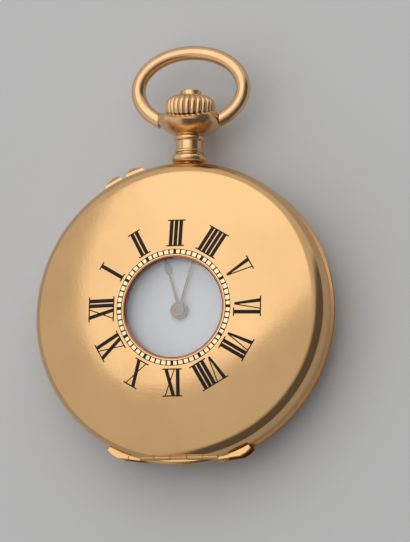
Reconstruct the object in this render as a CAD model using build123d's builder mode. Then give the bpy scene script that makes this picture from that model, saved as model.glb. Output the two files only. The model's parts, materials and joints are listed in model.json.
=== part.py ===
from build123d import *
from math import acos, asin, atan2, cos, degrees, hypot, pi, radians, sin, sqrt
import os

# Half hunter pocket watch lying on its back, in millimetres.
# +X is to the right, +Y runs to the pendant and +Z comes out of the dial.
# The origin is the middle of the flat face of the back cover.

# Covers and band
CASE_R = 25.0
BACK_H = 5.0
BAND_H = 3.0
LID_H = 5.92
COVER_WALL = 0.5
LID_ROLL_R = 3.0
BACK_ROLL_R = 2.6
REST_R = 12.0
RIM_GAP = 0.05
BAND_INSET = 0.3
BAND_WALL = 1.4
LEDGE_T = 1.0

# Window and its enamel, all on the lid
WINDOW_R = 8.2
WINDOW_RING_W = 0.4
TRACK_IN_R = 8.8
TRACK_OUT_R = 9.7
TRACK_LINE = 0.13
MINUTE_BAR = 0.25
HOUR_BAR = 0.5
NUMERAL_IN_R = 10.3
NUMERAL_OUT_R = 14.5
NUMERAL_BAR = 0.62
NUMERAL_GAP = 0.18
SERIF_W = 0.14
SERIF_REACH = 0.4
ENAMEL_DEPTH = 0.12
GLASS_T = 0.3

# Cover hinges
HINGE_Y = 23.95
KNUCKLE_R = 0.42
HINGE_PIN_R = 0.2
HINGE_HALF = 6.6
KNUCKLE_MID_HALF = 1.4
KNUCKLE_END_FROM = 4.2
HINGE_PLAY = 0.05
RUN_PLAY = 0.03
WING_TIP = 12.1
WING_FROM = 8.6
WING_TOP = 0.3
APRON_HALF = 7.6

# Pendant, crown and bow, measured from the edge of the case
PENDANT_BORE_R = 1.0
NECK_R = 2.2
BEAD_R = 2.95
BEAD_H = 1.5
NECK_RING_R = 2.45
NECK_RING_H = 0.6
NECK_H = 1.4
COLLAR_R = 2.55
COLLAR_H = 0.95
BOWL_H = 4.9
BOWL_R = 5.3
BOWL_RIM_R = 4.6
BOWL_MOUTH_R = 4.3
BOWL_DEPTH = 2.3
BOWL_DIP = 1.35
CROWN_R = 4.15
CROWN_H = 4.25
CROWN_RIBS = 24
CROWN_RIB_CUT_R = 0.24
CROWN_CAP_R = 1.75
CROWN_CAP_H = 0.9
CROWN_TRAVEL = 0.8
BOW_HALF_W = 9.0
BOW_HALF_H = 6.22
BOW_WIRE_R = 1.18
BOW_PIVOT_R = 0.75
BOW_PIVOT_DEPTH = 0.8
BOW_PIVOT_FROM_CASE = 7.5

# Movement
MOVEMENT_R = 20.5
FLANGE_W = 0.7
FLANGE_T = 0.45
PLATE_T = 2.0
PLATE_OVER_STEM = 0.1
WHEEL_SPACE = 2.4
BRIDGE_T = 1.2
DIAL_T = 0.45
DIAL_GAP = 0.4
DIAL_R = 20.9
BEZEL_W = 2.3
BEZEL_H = 1.3
CRYSTAL_T = 0.7
CRYSTAL_RISE = 1.9
CUVETTE_WALL = 0.35
CUVETTE_GAP = 0.8
CUVETTE_R = 22.2

# Wheels
WHEEL_T = 0.22
PINION_T = 0.34
STAFF_R = 0.32
PIVOT_R = 0.17
JEWEL_R = 0.7
JEWEL_T = 0.4
SCREW_R = 0.9
SCREW_HEAD_T = 0.45
SCREW_SHANK_R = 0.45
WHEEL_GAP = 0.12
STEM_R = 0.6
WINDING_PINION_R = 1.7
CLUTCH_R = 1.5
CLUTCH_TRAVEL = 0.9
SETTING_PIN_R = 0.26
PIN_PROUD = 0.65
SETTING_PIN_ANGLE = 115.0

# Levels
MID_Z = BACK_H + BAND_H / 2
RIM_Z = BACK_H + BAND_H
PLATE_BOTTOM = MID_Z + PLATE_OVER_STEM
PLATE_TOP = PLATE_BOTTOM + PLATE_T
BRIDGE_TOP = PLATE_BOTTOM - WHEEL_SPACE
BRIDGE_BOTTOM = BRIDGE_TOP - BRIDGE_T
DIAL_Z = PLATE_TOP + DIAL_GAP
DIAL_TOP = DIAL_Z + DIAL_T
RECESS_Z = PLATE_TOP - PLATE_T * 0.45

BAND_R = CASE_R - BAND_INSET
CHANNEL_R = BAND_R - BAND_WALL
BORE_R = MOVEMENT_R + FLANGE_W + FLANGE_W / 4
LIP_R = BORE_R + BAND_WALL * 0.6
OVERRUN = CASE_R * 2
BOTTOM = (Align.CENTER, Align.CENTER, Align.MIN)
Y_AXIS = Axis((0, 0, MID_Z), (0, 1, 0))


def polar(radius, angle):
    return radius * cos(radians(angle)), radius * sin(radians(angle))


def shifted(place, radius, angle):
    dx, dy = polar(radius, angle)
    return place[0] + dx, place[1] + dy


def rod(place, radius, z0, z1, mode=Mode.ADD):
    with Locations((place[0], place[1], z0)):
        Cylinder(radius, z1 - z0, align=BOTTOM, mode=mode)


def slab(corner, opposite, z0, z1, mode=Mode.ADD):
    with Locations((min(corner[0], opposite[0]), min(corner[1], opposite[1]), z0)):
        Box(abs(opposite[0] - corner[0]), abs(opposite[1] - corner[1]), z1 - z0,
            align=(Align.MIN, Align.MIN, Align.MIN), mode=mode)


def cross_rod(radius, x0, x1, y, z, mode=Mode.ADD):
    with Locations(Plane(origin=(x0, y, z), x_dir=(0, 1, 0), z_dir=(1, 0, 0))):
        Cylinder(radius, x1 - x0, align=BOTTOM, mode=mode)


def stem_rod(radius, y0, y1, mode=Mode.ADD):
    with Locations(Plane(origin=(0, y0, MID_Z), x_dir=(1, 0, 0), z_dir=(0, 1, 0))):
        Cylinder(radius, y1 - y0, align=BOTTOM, mode=mode)


def turned(points, mode=Mode.ADD):
    with BuildSketch(Plane.XZ) as section:
        Polygon(*points, align=None)
    revolve(section.sketch, axis=Axis.Z, mode=mode)


def plan(sketch, z0, z1, mode=Mode.ADD):
    extrude(Plane.XY.offset(z0) * sketch, amount=z1 - z0, mode=mode)


# A domed cover: a wide arc, tangent to a flat of radius flat_r or to the axis, rolls over
# into a small arc that ends upright at the rim.
def dome_radius(rim_r, height, roll_r, flat_r):
    reach = rim_r - roll_r - flat_r
    return (reach**2 + height**2 - roll_r**2) / (2 * (height - roll_r))


def dome_height(radius, height, big_r, flat_r, inset=0):
    return height - big_r + sqrt((big_r - inset)**2 - (radius - flat_r)**2)


def dome_section(rim_r, height, roll_r, flat_r, inset, hole_r=0):
    big_r = dome_radius(rim_r, height, roll_r, flat_r)
    tilt = asin((rim_r - roll_r - flat_r) / (big_r - roll_r))

    def corner(radius, share):
        angle = tilt + (pi / 2 - tilt) * share
        return rim_r - roll_r + radius * sin(angle), radius * cos(angle)

    def crown_point(radius, share):
        angle = tilt * share
        return flat_r + radius * sin(angle), height - big_r + radius * cos(angle)

    start = max(asin(hole_r / big_r) / tilt, 0) if hole_r else 0
    outer, inner = big_r, big_r - inset
    return [crown_point(outer, start), crown_point(outer, (1 + start) / 2), corner(roll_r, 0),
            corner(roll_r, 1 / 2), corner(roll_r, 1), corner(roll_r - inset, 1),
            corner(roll_r - inset, 1 / 2), corner(roll_r - inset, 0),
            crown_point(inner, (1 + start) / 2), crown_point(inner, start)]


# The shell is drawn open upwards or downwards from the plane z = rim_z.
def cover_shell(rim_r, height, roll_r, flat_r, wall, rim_z, way, hole_r=0, mode=Mode.ADD):
    points = [(r, rim_z + way * z) for r, z in
              dome_section(rim_r, height, roll_r, flat_r, wall, hole_r)]
    p = [Vector(*point) for point in points]
    with BuildSketch(Plane.XZ) as section:
        with BuildLine():
            if flat_r:
                Line((0, p[0].Y), p[0])
                Line((0, p[9].Y), p[9])
                Line((0, p[0].Y), (0, p[9].Y))
            else:
                Line(p[0], p[9])
            ThreePointArc(p[0], p[1], p[2])
            ThreePointArc(p[2], p[3], p[4])
            Line(p[4], p[5])
            ThreePointArc(p[5], p[6], p[7])
            ThreePointArc(p[7], p[8], p[9])
        make_face()
    revolve(section.sketch, axis=Axis.Z, mode=mode)


# Knuckles of a cover hinge: the band has the middle one and both ends, the cover the others.
MID_KNUCKLE = [(-KNUCKLE_MID_HALF, KNUCKLE_MID_HALF)]
END_KNUCKLES = [(-HINGE_HALF, -KNUCKLE_END_FROM), (KNUCKLE_END_FROM, HINGE_HALF)]
BAND_KNUCKLES = MID_KNUCKLE + END_KNUCKLES
COVER_KNUCKLES = [(side * (KNUCKLE_MID_HALF + HINGE_PLAY), side * (KNUCKLE_END_FROM - HINGE_PLAY))
                  for side in (-1, 1)]
KNUCKLE_CLEAR_R = KNUCKLE_R + HINGE_PLAY
HINGE_WALL_Y = HINGE_Y - HINGE_PLAY * 2 - COVER_WALL / 2
PIN_BORE_R = HINGE_PIN_R + RUN_PLAY


def cover_hinge(z, way):
    wall_low = z + way * RIM_GAP
    wall_high = z + way * LID_ROLL_R * 0.35
    for x0, x1 in COVER_KNUCKLES:
        low, high = sorted((x0, x1))
        cross_rod(KNUCKLE_R, low, high, -HINGE_Y, z)
        slab((low, -HINGE_Y + HINGE_PLAY), (high, -HINGE_WALL_Y), *sorted((wall_low, wall_high)))
    for x0, x1 in BAND_KNUCKLES:
        cross_rod(KNUCKLE_CLEAR_R, x0 - HINGE_PLAY, x1 + HINGE_PLAY, -HINGE_Y, z, Mode.SUBTRACT)
    cross_rod(PIN_BORE_R, -HINGE_HALF, HINGE_HALF, -HINGE_Y, z, Mode.SUBTRACT)


# Lock spring and lift spring of the front cover lie in the channel of the band
SPRING_T = 0.5
SPRING_R = CHANNEL_R - SPRING_T - HINGE_PLAY * 3
SPRING_H = (BAND_H - LEDGE_T) * 0.35
BAND_LOW = BACK_H + RIM_GAP
BAND_TOP = RIM_Z - RIM_GAP
SPRING_Z = BAND_LOW + HINGE_PLAY * 4
LOCK_ANGLE = 97.0
LOCK_ROOT_ANGLE = 150.0
LIFT_ANGLE = 262.0
LIFT_ROOT_ANGLE = 200.0
HOOK_W = 1.2
NOSE_Z = RIM_Z + KNUCKLE_R * 0.8
NOSE_T = 0.4
NOSE_REACH = 0.75
NOSE_GAP = 0.1
CATCH_R = SPRING_R + SPRING_T + NOSE_REACH + NOSE_GAP
CASE_SCREW_R = 0.44
CASE_SCREW_AT = MOVEMENT_R + FLANGE_W / 2 + RIM_GAP
CASE_SCREW_ANGLES = (20.0, 160.0, 235.0)


# A bar that stands on the ledge at one angle, from radius r0 to r1 and from z0 to z1.
def radial_bar(angle, width, r0, r1, z0, z1, mode=Mode.ADD):
    with Locations(Location((*polar((r0 + r1) / 2, angle), z0), (0, 0, angle))):
        Box(r1 - r0, width, z1 - z0, align=BOTTOM, mode=mode)


# Front cover
LID_BIG_R = dome_radius(CASE_R, LID_H, LID_ROLL_R, 0)
WINDOW_EDGE_R = WINDOW_R + WINDOW_RING_W


def lid_z(radius, inset=0):
    return RIM_Z + dome_height(radius, LID_H, LID_BIG_R, 0, inset)


# Solid that fills a cover from its dome down to its rim plane.
def cover_fill(rim_r, height, roll_r, flat_r, rim_z, way):
    points = dome_section(rim_r, height, roll_r, flat_r, 0)
    p = [Vector(r, rim_z + way * z) for r, z in points[:5]]
    with BuildPart() as fill:
        with BuildSketch(Plane.XZ) as section:
            with BuildLine():
                if flat_r:
                    Line((0, p[0].Y), p[0])
                ThreePointArc(p[0], p[1], p[2])
                ThreePointArc(p[2], p[3], p[4])
                Line(p[4], (0, rim_z))
                Line((0, rim_z), (0, p[0].Y))
            make_face()
        revolve(section.sketch, axis=Axis.Z)
    return fill.part


def straight_wall(fill, z_low, z_high):
    with BuildPart() as wall:
        slab((-CASE_R, -HINGE_WALL_Y - COVER_WALL / 2), (CASE_R, -HINGE_WALL_Y + COVER_WALL / 2),
             z_low, z_high)
        add(fill, mode=Mode.INTERSECT)
    return wall.part


def trim_at_hinge():
    slab((-OVERRUN, -OVERRUN), (OVERRUN, -HINGE_WALL_Y - COVER_WALL / 2), -OVERRUN, OVERRUN,
         Mode.SUBTRACT)


lid_fill = cover_fill(CASE_R, LID_H, LID_ROLL_R, 0, RIM_Z, 1)
lid_wall = straight_wall(lid_fill, RIM_Z, RIM_Z + LID_H)

# Numerals are drawn upright on the +Y side, tops outward, then turned to their hours.
NUMERAL_H = NUMERAL_OUT_R - NUMERAL_IN_R
V_WIDTH_SHARE = 0.42
V_WIDTH = NUMERAL_H * V_WIDTH_SHARE
THIN = NUMERAL_BAR * 0.3


def stroke(x_in, x_out, width, width_in=None):
    half_in = (width_in or width) / 2
    Polygon((x_in - half_in, NUMERAL_IN_R), (x_in + half_in, NUMERAL_IN_R),
            (x_out + width / 2, NUMERAL_OUT_R), (x_out - width / 2, NUMERAL_OUT_R), align=None)


def letter(kind, x):
    if kind == "I":
        stroke(x, x, NUMERAL_BAR)
    if kind == "V":
        stroke(x, x - V_WIDTH / 2 + NUMERAL_BAR / 2, NUMERAL_BAR, THIN * 2)
        stroke(x + THIN / 2, x + V_WIDTH / 2 - THIN / 2, THIN)
    if kind == "X":
        stroke(x + V_WIDTH / 2 - NUMERAL_BAR / 2, x - V_WIDTH / 2 + NUMERAL_BAR / 2, NUMERAL_BAR)
        stroke(x - V_WIDTH / 2 + THIN / 2, x + V_WIDTH / 2 - THIN / 2, THIN)


def numeral_sketch(text):
    widths = [NUMERAL_BAR if kind == "I" else V_WIDTH for kind in text]
    total = sum(widths) + NUMERAL_GAP * (len(text) - 1)
    with BuildSketch() as numeral:
        x = -total / 2
        for kind, width in zip(text, widths):
            letter(kind, x + width / 2)
            x += width + NUMERAL_GAP
        # The point of a V has no serif
        foot = total - (V_WIDTH + NUMERAL_GAP if "V" in text else 0)
        for y, wide in ((NUMERAL_IN_R - SERIF_W / 2, foot), (NUMERAL_OUT_R + SERIF_W / 2, total)):
            if wide > 0:
                with Locations(((total - wide) / 2, y)):
                    Rectangle(wide + 2 * SERIF_REACH, SERIF_W * 1.5)
    return numeral.sketch


HOURS = ["XII", "I", "II", "III", "IIII", "V", "VI", "VII", "VIII", "IX", "X", "XI"]
PENDANT_HOUR = HOURS.index("III")
HOUR_STEP = 360 / len(HOURS)
MINUTES = 60

with BuildPart() as enamel_skin:
    cover_shell(CASE_R, LID_H, LID_ROLL_R, 0, ENAMEL_DEPTH, RIM_Z, 1, WINDOW_EDGE_R)

with BuildPart() as lid_numerals:
    for hour, text in enumerate(HOURS):
        turn = Rot(0, 0, (PENDANT_HOUR - hour) * HOUR_STEP)
        plan(turn * numeral_sketch(text), RIM_Z, RIM_Z + LID_H)
    add(enamel_skin.part, mode=Mode.INTERSECT)

with BuildSketch() as track_sketch:
    Circle(TRACK_OUT_R)
    Circle(TRACK_OUT_R - TRACK_LINE, mode=Mode.SUBTRACT)
    Circle(TRACK_IN_R + TRACK_LINE)
    Circle(TRACK_IN_R, mode=Mode.SUBTRACT)
    track_mid = (TRACK_IN_R + TRACK_OUT_R) / 2
    for minute in range(MINUTES):
        bar = HOUR_BAR if minute % (MINUTES // len(HOURS)) == 0 else MINUTE_BAR
        with Locations(Location((*polar(track_mid, minute * 360 / MINUTES), 0),
                                (0, 0, minute * 360 / MINUTES))):
            Rectangle(TRACK_OUT_R - TRACK_IN_R - TRACK_LINE, bar)

with BuildPart() as lid_minute_track:
    plan(track_sketch.sketch, RIM_Z, RIM_Z + LID_H)
    add(enamel_skin.part, mode=Mode.INTERSECT)

with BuildPart() as front_cover:
    cover_shell(CASE_R, LID_H, LID_ROLL_R, 0, COVER_WALL, RIM_Z, 1, WINDOW_EDGE_R)
    trim_at_hinge()
    add(lid_wall)
    cover_hinge(RIM_Z, 1)
    radial_bar(LOCK_ANGLE, HOOK_W * 2, CATCH_R, CASE_R - COVER_WALL + RIM_GAP, RIM_Z + RIM_GAP,
               NOSE_Z - NOSE_GAP)
    add(lid_numerals.part, mode=Mode.SUBTRACT)
    add(lid_minute_track.part, mode=Mode.SUBTRACT)

# Window glass in its polished ring
RING_R = WINDOW_EDGE_R * (1 - COVER_WALL / LID_BIG_R) - RIM_GAP / 2
RING_FOOT_R = WINDOW_EDGE_R + WINDOW_RING_W * 2
RING_FOOT_TOP = lid_z(RING_FOOT_R, COVER_WALL) - RIM_GAP
GLASS_R = WINDOW_R + WINDOW_RING_W * 1.5
GLASS_TOP = RING_FOOT_TOP - RIM_GAP
GLASS_LOW = GLASS_TOP - GLASS_T
with BuildPart() as window_ring:
    turned([(WINDOW_R, GLASS_TOP), (GLASS_R, GLASS_TOP), (GLASS_R, GLASS_LOW),
            (RING_FOOT_R, GLASS_LOW), (RING_FOOT_R, RING_FOOT_TOP), (RING_R, RING_FOOT_TOP),
            (RING_R, lid_z(WINDOW_EDGE_R) - RIM_GAP), (WINDOW_R, lid_z(WINDOW_EDGE_R) - GLASS_T)])
with BuildPart() as window_glass:
    rod((0, 0), GLASS_R - RIM_GAP / 2, GLASS_LOW, GLASS_TOP)

# Back cover and its hinge
back_fill = cover_fill(CASE_R, BACK_H, BACK_ROLL_R, REST_R, BACK_H, -1)
back_wall = straight_wall(back_fill, 0, BACK_H)
with BuildPart() as back_cover:
    cover_shell(CASE_R, BACK_H, BACK_ROLL_R, REST_R, COVER_WALL, BACK_H, -1)
    trim_at_hinge()
    add(back_wall)
    cover_hinge(BACK_H, -1)

# Cuvette, a shallower cover inside the back with a hinge of its own
CUVETTE_Z = COVER_WALL + CUVETTE_GAP
CUVETTE_RIM_Z = BRIDGE_TOP - BRIDGE_T * 0.35
CUVETTE_H = CUVETTE_RIM_Z - CUVETTE_Z
CUVETTE_ROLL_R = CUVETTE_H * 0.5
CUVETTE_KNUCKLE_R = CUVETTE_WALL * 1.2
CUVETTE_HINGE_Y = CUVETTE_R - CUVETTE_KNUCKLE_R
CUVETTE_HINGE_HALF = HINGE_HALF * 0.4
with BuildPart() as cuvette:
    cover_shell(CUVETTE_R, CUVETTE_H, CUVETTE_ROLL_R, REST_R, CUVETTE_WALL, CUVETTE_RIM_Z, -1)
    slab((-CUVETTE_HINGE_HALF - HINGE_PLAY, -OVERRUN),
         (CUVETTE_HINGE_HALF + HINGE_PLAY, -CUVETTE_HINGE_Y + CUVETTE_KNUCKLE_R),
         -OVERRUN, OVERRUN, Mode.SUBTRACT)
    cross_rod(CUVETTE_KNUCKLE_R, -CUVETTE_HINGE_HALF / 3, CUVETTE_HINGE_HALF / 3,
              -CUVETTE_HINGE_Y, CUVETTE_RIM_Z)
    slab((-CUVETTE_HINGE_HALF / 3, -CUVETTE_HINGE_Y),
         (CUVETTE_HINGE_HALF / 3, -CUVETTE_HINGE_Y + CUVETTE_KNUCKLE_R * 2.5),
         CUVETTE_RIM_Z - CUVETTE_ROLL_R * 1.1, CUVETTE_RIM_Z - RIM_GAP)
    cross_rod(HINGE_PIN_R / 2 + RUN_PLAY, -CUVETTE_HINGE_HALF, CUVETTE_HINGE_HALF,
              -CUVETTE_HINGE_Y, CUVETTE_RIM_Z, Mode.SUBTRACT)

# Hinge pins
with BuildPart() as front_hinge_pin:
    cross_rod(HINGE_PIN_R, -HINGE_HALF, HINGE_HALF, -HINGE_Y, RIM_Z)
with BuildPart() as back_hinge_pin:
    cross_rod(HINGE_PIN_R, -HINGE_HALF, HINGE_HALF, -HINGE_Y, BACK_H)
with BuildPart() as cuvette_hinge_pin:
    cross_rod(HINGE_PIN_R / 2, -CUVETTE_HINGE_HALF, CUVETTE_HINGE_HALF,
              -CUVETTE_HINGE_Y, CUVETTE_RIM_Z)

# Case middle: band, ledge for the movement, lips inside the covers, hinge bearers
FLANGE_Z = PLATE_TOP - PLATE_T / 2
LEDGE_Z = FLANGE_Z - LEDGE_T
LIP_TOP = DIAL_TOP
LIP_LOW = CUVETTE_RIM_Z + RIM_GAP
wing_points = [(KNUCKLE_END_FROM, -BAND_R + BAND_WALL), (KNUCKLE_END_FROM, -HINGE_Y - KNUCKLE_R),
               (HINGE_HALF, -HINGE_Y - KNUCKLE_R), (WING_TIP - KNUCKLE_R * 4, -HINGE_Y + HINGE_PLAY)]
wing_points += [(WING_TIP - KNUCKLE_R * back, -HINGE_Y + KNUCKLE_R * up)
                for back, up in ((1.5, 1.6), (0, 3.2), (0.6, 4.2), (3.4, 4.5))]
wing_points += [(HINGE_HALF, -HINGE_Y + KNUCKLE_R * 1.8)]


def hinge_bearer(z, way):
    root = sorted((z - way * KNUCKLE_R, z - way * RIM_GAP))
    tip = sorted((z - way * RIM_GAP, z + way * WING_TOP))
    for side in (-1, 1):
        with BuildSketch() as wing:
            Polygon(*[(side * x, y) for x, y in wing_points], align=None)
        plan(wing.sketch, *root)
        with BuildSketch() as outside:
            add(wing.sketch)
            Circle(CASE_R + HINGE_PLAY * 2, mode=Mode.SUBTRACT)
            Rectangle(WING_FROM * 2, CASE_R * 2, mode=Mode.SUBTRACT)
        plan(outside.sketch, *tip)
    for x0, x1 in BAND_KNUCKLES:
        cross_rod(KNUCKLE_R, x0, x1, -HINGE_Y, z)
    for x0, x1 in COVER_KNUCKLES:
        low, high = sorted((x0, x1))
        cross_rod(KNUCKLE_CLEAR_R, low - HINGE_PLAY, high + HINGE_PLAY, -HINGE_Y, z, Mode.SUBTRACT)
    cross_rod(PIN_BORE_R, -HINGE_HALF, HINGE_HALF, -HINGE_Y, z, Mode.SUBTRACT)


GUARD_GAP = SETTING_PIN_R + RUN_PLAY
PENDANT_ROOT_R = (BAND_H - 4 * RIM_GAP) / 2
PIN_PLANE = Plane(origin=(0, 0, MID_Z), x_dir=(0, 0, 1),
                  z_dir=(*polar(1, SETTING_PIN_ANGLE), 0))


def setting_pin_rod(radius, r0, r1, mode=Mode.ADD):
    with Locations(PIN_PLANE.offset(r0)):
        Cylinder(radius, r1 - r0, align=BOTTOM, mode=mode)


# Apron of the band under the straight edge of the covers, out to the full circle of the case
APRON_LOW = BACK_H + KNUCKLE_R + HINGE_PLAY * 2
APRON_HIGH = RIM_Z - KNUCKLE_R - HINGE_PLAY * 2
with BuildPart() as apron:
    turned([(BAND_R - BAND_INSET, APRON_LOW), (CASE_R - BAND_INSET / 2, APRON_LOW),
            (CASE_R, APRON_LOW + BAND_INSET / 2), (CASE_R, APRON_HIGH - BAND_INSET),
            (CASE_R - BAND_INSET, APRON_HIGH), (BAND_R - BAND_INSET, APRON_HIGH)])
    with BuildPart(mode=Mode.INTERSECT):
        slab((-APRON_HALF, -CASE_R), (APRON_HALF, 0), APRON_LOW, APRON_HIGH)

with BuildPart() as case_middle:
    turned([(CHANNEL_R, BAND_LOW), (BAND_R, BAND_LOW), (BAND_R, BAND_TOP), (LIP_R, BAND_TOP),
            (LIP_R, LIP_TOP), (BORE_R, LIP_TOP), (BORE_R, FLANGE_Z),
            (MOVEMENT_R + RIM_GAP * 2, FLANGE_Z), (MOVEMENT_R + RIM_GAP * 2, LEDGE_Z),
            (CHANNEL_R, LEDGE_Z)])
    turned([(CUVETTE_R + RIM_GAP * 2, LIP_LOW), (CHANNEL_R + RIM_GAP, LIP_LOW),
            (CHANNEL_R + RIM_GAP, BAND_LOW + RIM_GAP), (CUVETTE_R + RIM_GAP * 2, BAND_LOW + RIM_GAP)])
    add(apron.part)
    hinge_bearer(RIM_Z, 1)
    hinge_bearer(BACK_H, -1)
    for x0 in (-CUVETTE_HINGE_HALF, CUVETTE_HINGE_HALF / 3 + HINGE_PLAY):
        x1 = x0 + CUVETTE_HINGE_HALF * 2 / 3 - HINGE_PLAY
        cross_rod(CUVETTE_KNUCKLE_R, x0, x1, -CUVETTE_HINGE_Y, CUVETTE_RIM_Z)
        slab((x0, -CUVETTE_HINGE_Y - CUVETTE_KNUCKLE_R), (x1, -CUVETTE_R + CUVETTE_KNUCKLE_R),
             CUVETTE_RIM_Z, LEDGE_Z)
    cross_rod(HINGE_PIN_R / 2 + RUN_PLAY, -CUVETTE_HINGE_HALF, CUVETTE_HINGE_HALF,
              -CUVETTE_HINGE_Y, CUVETTE_RIM_Z, Mode.SUBTRACT)
    stem_rod(PENDANT_ROOT_R, MOVEMENT_R - FLANGE_W, CASE_R, Mode.SUBTRACT)
    for angle in (LOCK_ANGLE, LIFT_ANGLE):
        radial_bar(angle, HOOK_W * 2, SPRING_R - SPRING_T, SPRING_R + SPRING_T + HINGE_PLAY * 2,
                   BAND_LOW, RIM_Z, Mode.SUBTRACT)
    for angle in CASE_SCREW_ANGLES:
        rod(polar(CASE_SCREW_AT, angle), CASE_SCREW_R / 2, LEDGE_Z, FLANGE_Z, Mode.SUBTRACT)
    setting_pin_rod(SETTING_PIN_R + RUN_PLAY, MOVEMENT_R - FLANGE_W, CASE_R, Mode.SUBTRACT)

# Guard of the setting pin: two lobes on the band, steep beside the pin and tapered away from it
LOBE_L = 3.6
LOBE_RISE = 1.5
LOBE_H = BAND_H - 6 * RIM_GAP
LOBE_PEAK_SHARE = 0.36
LOBE_FRONT_SHARES = (0.06, 0.62)
LOBE_BACK_SHARES = (0.76, 0.6)
LOBE_SHOULDER_SHARE = 0.6
GUARD_PLANE = Plane(origin=(*polar(BAND_R, SETTING_PIN_ANGLE), MID_Z),
                    x_dir=(*polar(1, SETTING_PIN_ANGLE - 90), 0), z_dir=(0, 0, 1))
with BuildPart() as setting_pin_guard:
    for side in (-1, 1):
        near = GUARD_GAP + HINGE_PLAY

        def lobe_point(along, rise):
            return (side * (near + LOBE_L * along), LOBE_RISE * rise)

        with BuildSketch(GUARD_PLANE.offset(-LOBE_H / 2)) as lobe:
            with BuildLine():
                foot_in = (side * near, -LOBE_RISE)
                foot_out = (side * (near + LOBE_L), -LOBE_RISE)
                Line(foot_in, lobe_point(0, 0))
                ThreePointArc(lobe_point(0, 0), lobe_point(*LOBE_FRONT_SHARES),
                              lobe_point(LOBE_PEAK_SHARE, 1))
                ThreePointArc(lobe_point(LOBE_PEAK_SHARE, 1), lobe_point(*LOBE_BACK_SHARES),
                              lobe_point(1, -BAND_INSET / LOBE_RISE))
                Line(lobe_point(1, -BAND_INSET / LOBE_RISE), foot_out)
                Line(foot_out, foot_in)
            make_face()
        extrude(lobe.sketch, amount=LOBE_H)
    low, high = MID_Z - LOBE_H / 2, MID_Z + LOBE_H / 2
    shoulder = BAND_R + LOBE_RISE * LOBE_SHOULDER_SHARE
    with BuildPart(mode=Mode.INTERSECT):
        turned([(BAND_R, low), (shoulder, low), (BAND_R + LOBE_RISE, low + LOBE_H / 4),
                (BAND_R + LOBE_RISE, high - LOBE_H / 4), (shoulder, high), (BAND_R, high)])

# Pendant, turned about the stem
Y0 = CASE_R + RIM_GAP * 3
BEAD_TOP = Y0 + BEAD_H
RING_LOW = BEAD_TOP + NECK_RING_H / 4
RING_HIGH = RING_LOW + NECK_RING_H
BOWL_LOW = RING_HIGH + NECK_H
BOWL_TOP = BOWL_LOW + BOWL_H
BOWL_WIDE = CASE_R + BOW_PIVOT_FROM_CASE
CUP_FLOOR = BOWL_TOP - BOWL_DEPTH
SADDLE_R = (BOWL_RIM_R**2 + BOWL_DIP**2) / (2 * BOWL_DIP)
BOWL_HIP = (BOWL_R * 0.985, BOWL_WIDE - BOWL_DEPTH / 3)
BOWL_FLARE = ((NECK_R + BOWL_R) * 0.535, BOWL_LOW + COLLAR_H * 1.9)
with BuildPart() as pendant:
    with BuildSketch(Plane.XY.offset(MID_Z)) as profile:
        with BuildLine():
            Polyline((PENDANT_BORE_R, CHANNEL_R), (PENDANT_ROOT_R - RUN_PLAY, CHANNEL_R),
                     (PENDANT_ROOT_R - RUN_PLAY, Y0), (NECK_R, Y0))
            ThreePointArc((NECK_R, Y0), (BEAD_R, Y0 + BEAD_H / 2), (NECK_R, BEAD_TOP))
            Line((NECK_R, BEAD_TOP), (NECK_R, RING_LOW))
            ThreePointArc((NECK_R, RING_LOW), (NECK_RING_R, RING_LOW + NECK_RING_H / 2),
                          (NECK_R, RING_HIGH))
            Line((NECK_R, RING_HIGH), (NECK_R, BOWL_LOW))
            ThreePointArc((NECK_R, BOWL_LOW), (COLLAR_R, BOWL_LOW + COLLAR_H / 2),
                          (NECK_R + SERIF_W, BOWL_LOW + COLLAR_H))
            ThreePointArc((NECK_R + SERIF_W, BOWL_LOW + COLLAR_H), BOWL_FLARE, BOWL_HIP)
            ThreePointArc(BOWL_HIP, (BOWL_R, BOWL_WIDE), (BOWL_RIM_R, BOWL_TOP))
            Polyline((BOWL_RIM_R, BOWL_TOP), (BOWL_MOUTH_R, BOWL_TOP), (BOWL_MOUTH_R, CUP_FLOOR),
                     (PENDANT_BORE_R, CUP_FLOOR), (PENDANT_BORE_R, CHANNEL_R))
        make_face()
    revolve(profile.sketch, axis=Y_AXIS)
    FLAT_X = BOWL_R - BOW_PIVOT_DEPTH / 8
    for side in (-1, 1):
        low, high = sorted((side * FLAT_X, side * OVERRUN))
        slab((low, 0), (high, OVERRUN), 0, OVERRUN, Mode.SUBTRACT)
        low, high = sorted((side * (FLAT_X - BOW_PIVOT_DEPTH), side * OVERRUN))
        cross_rod(BOW_PIVOT_R + RUN_PLAY, low, high, BOWL_WIDE, MID_Z, Mode.SUBTRACT)
    with BuildPart(mode=Mode.SUBTRACT):
        slab((-CASE_R, BOWL_TOP - BOWL_R), (CASE_R, BOWL_TOP + BOWL_R), MID_Z - CASE_R, MID_Z + CASE_R)
        cross_rod(SADDLE_R, -CASE_R, CASE_R, BOWL_TOP - SADDLE_R, MID_Z, Mode.SUBTRACT)
        slab((-CASE_R, 0), (CASE_R, BOWL_TOP - SADDLE_R), -OVERRUN, OVERRUN, Mode.SUBTRACT)

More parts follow.
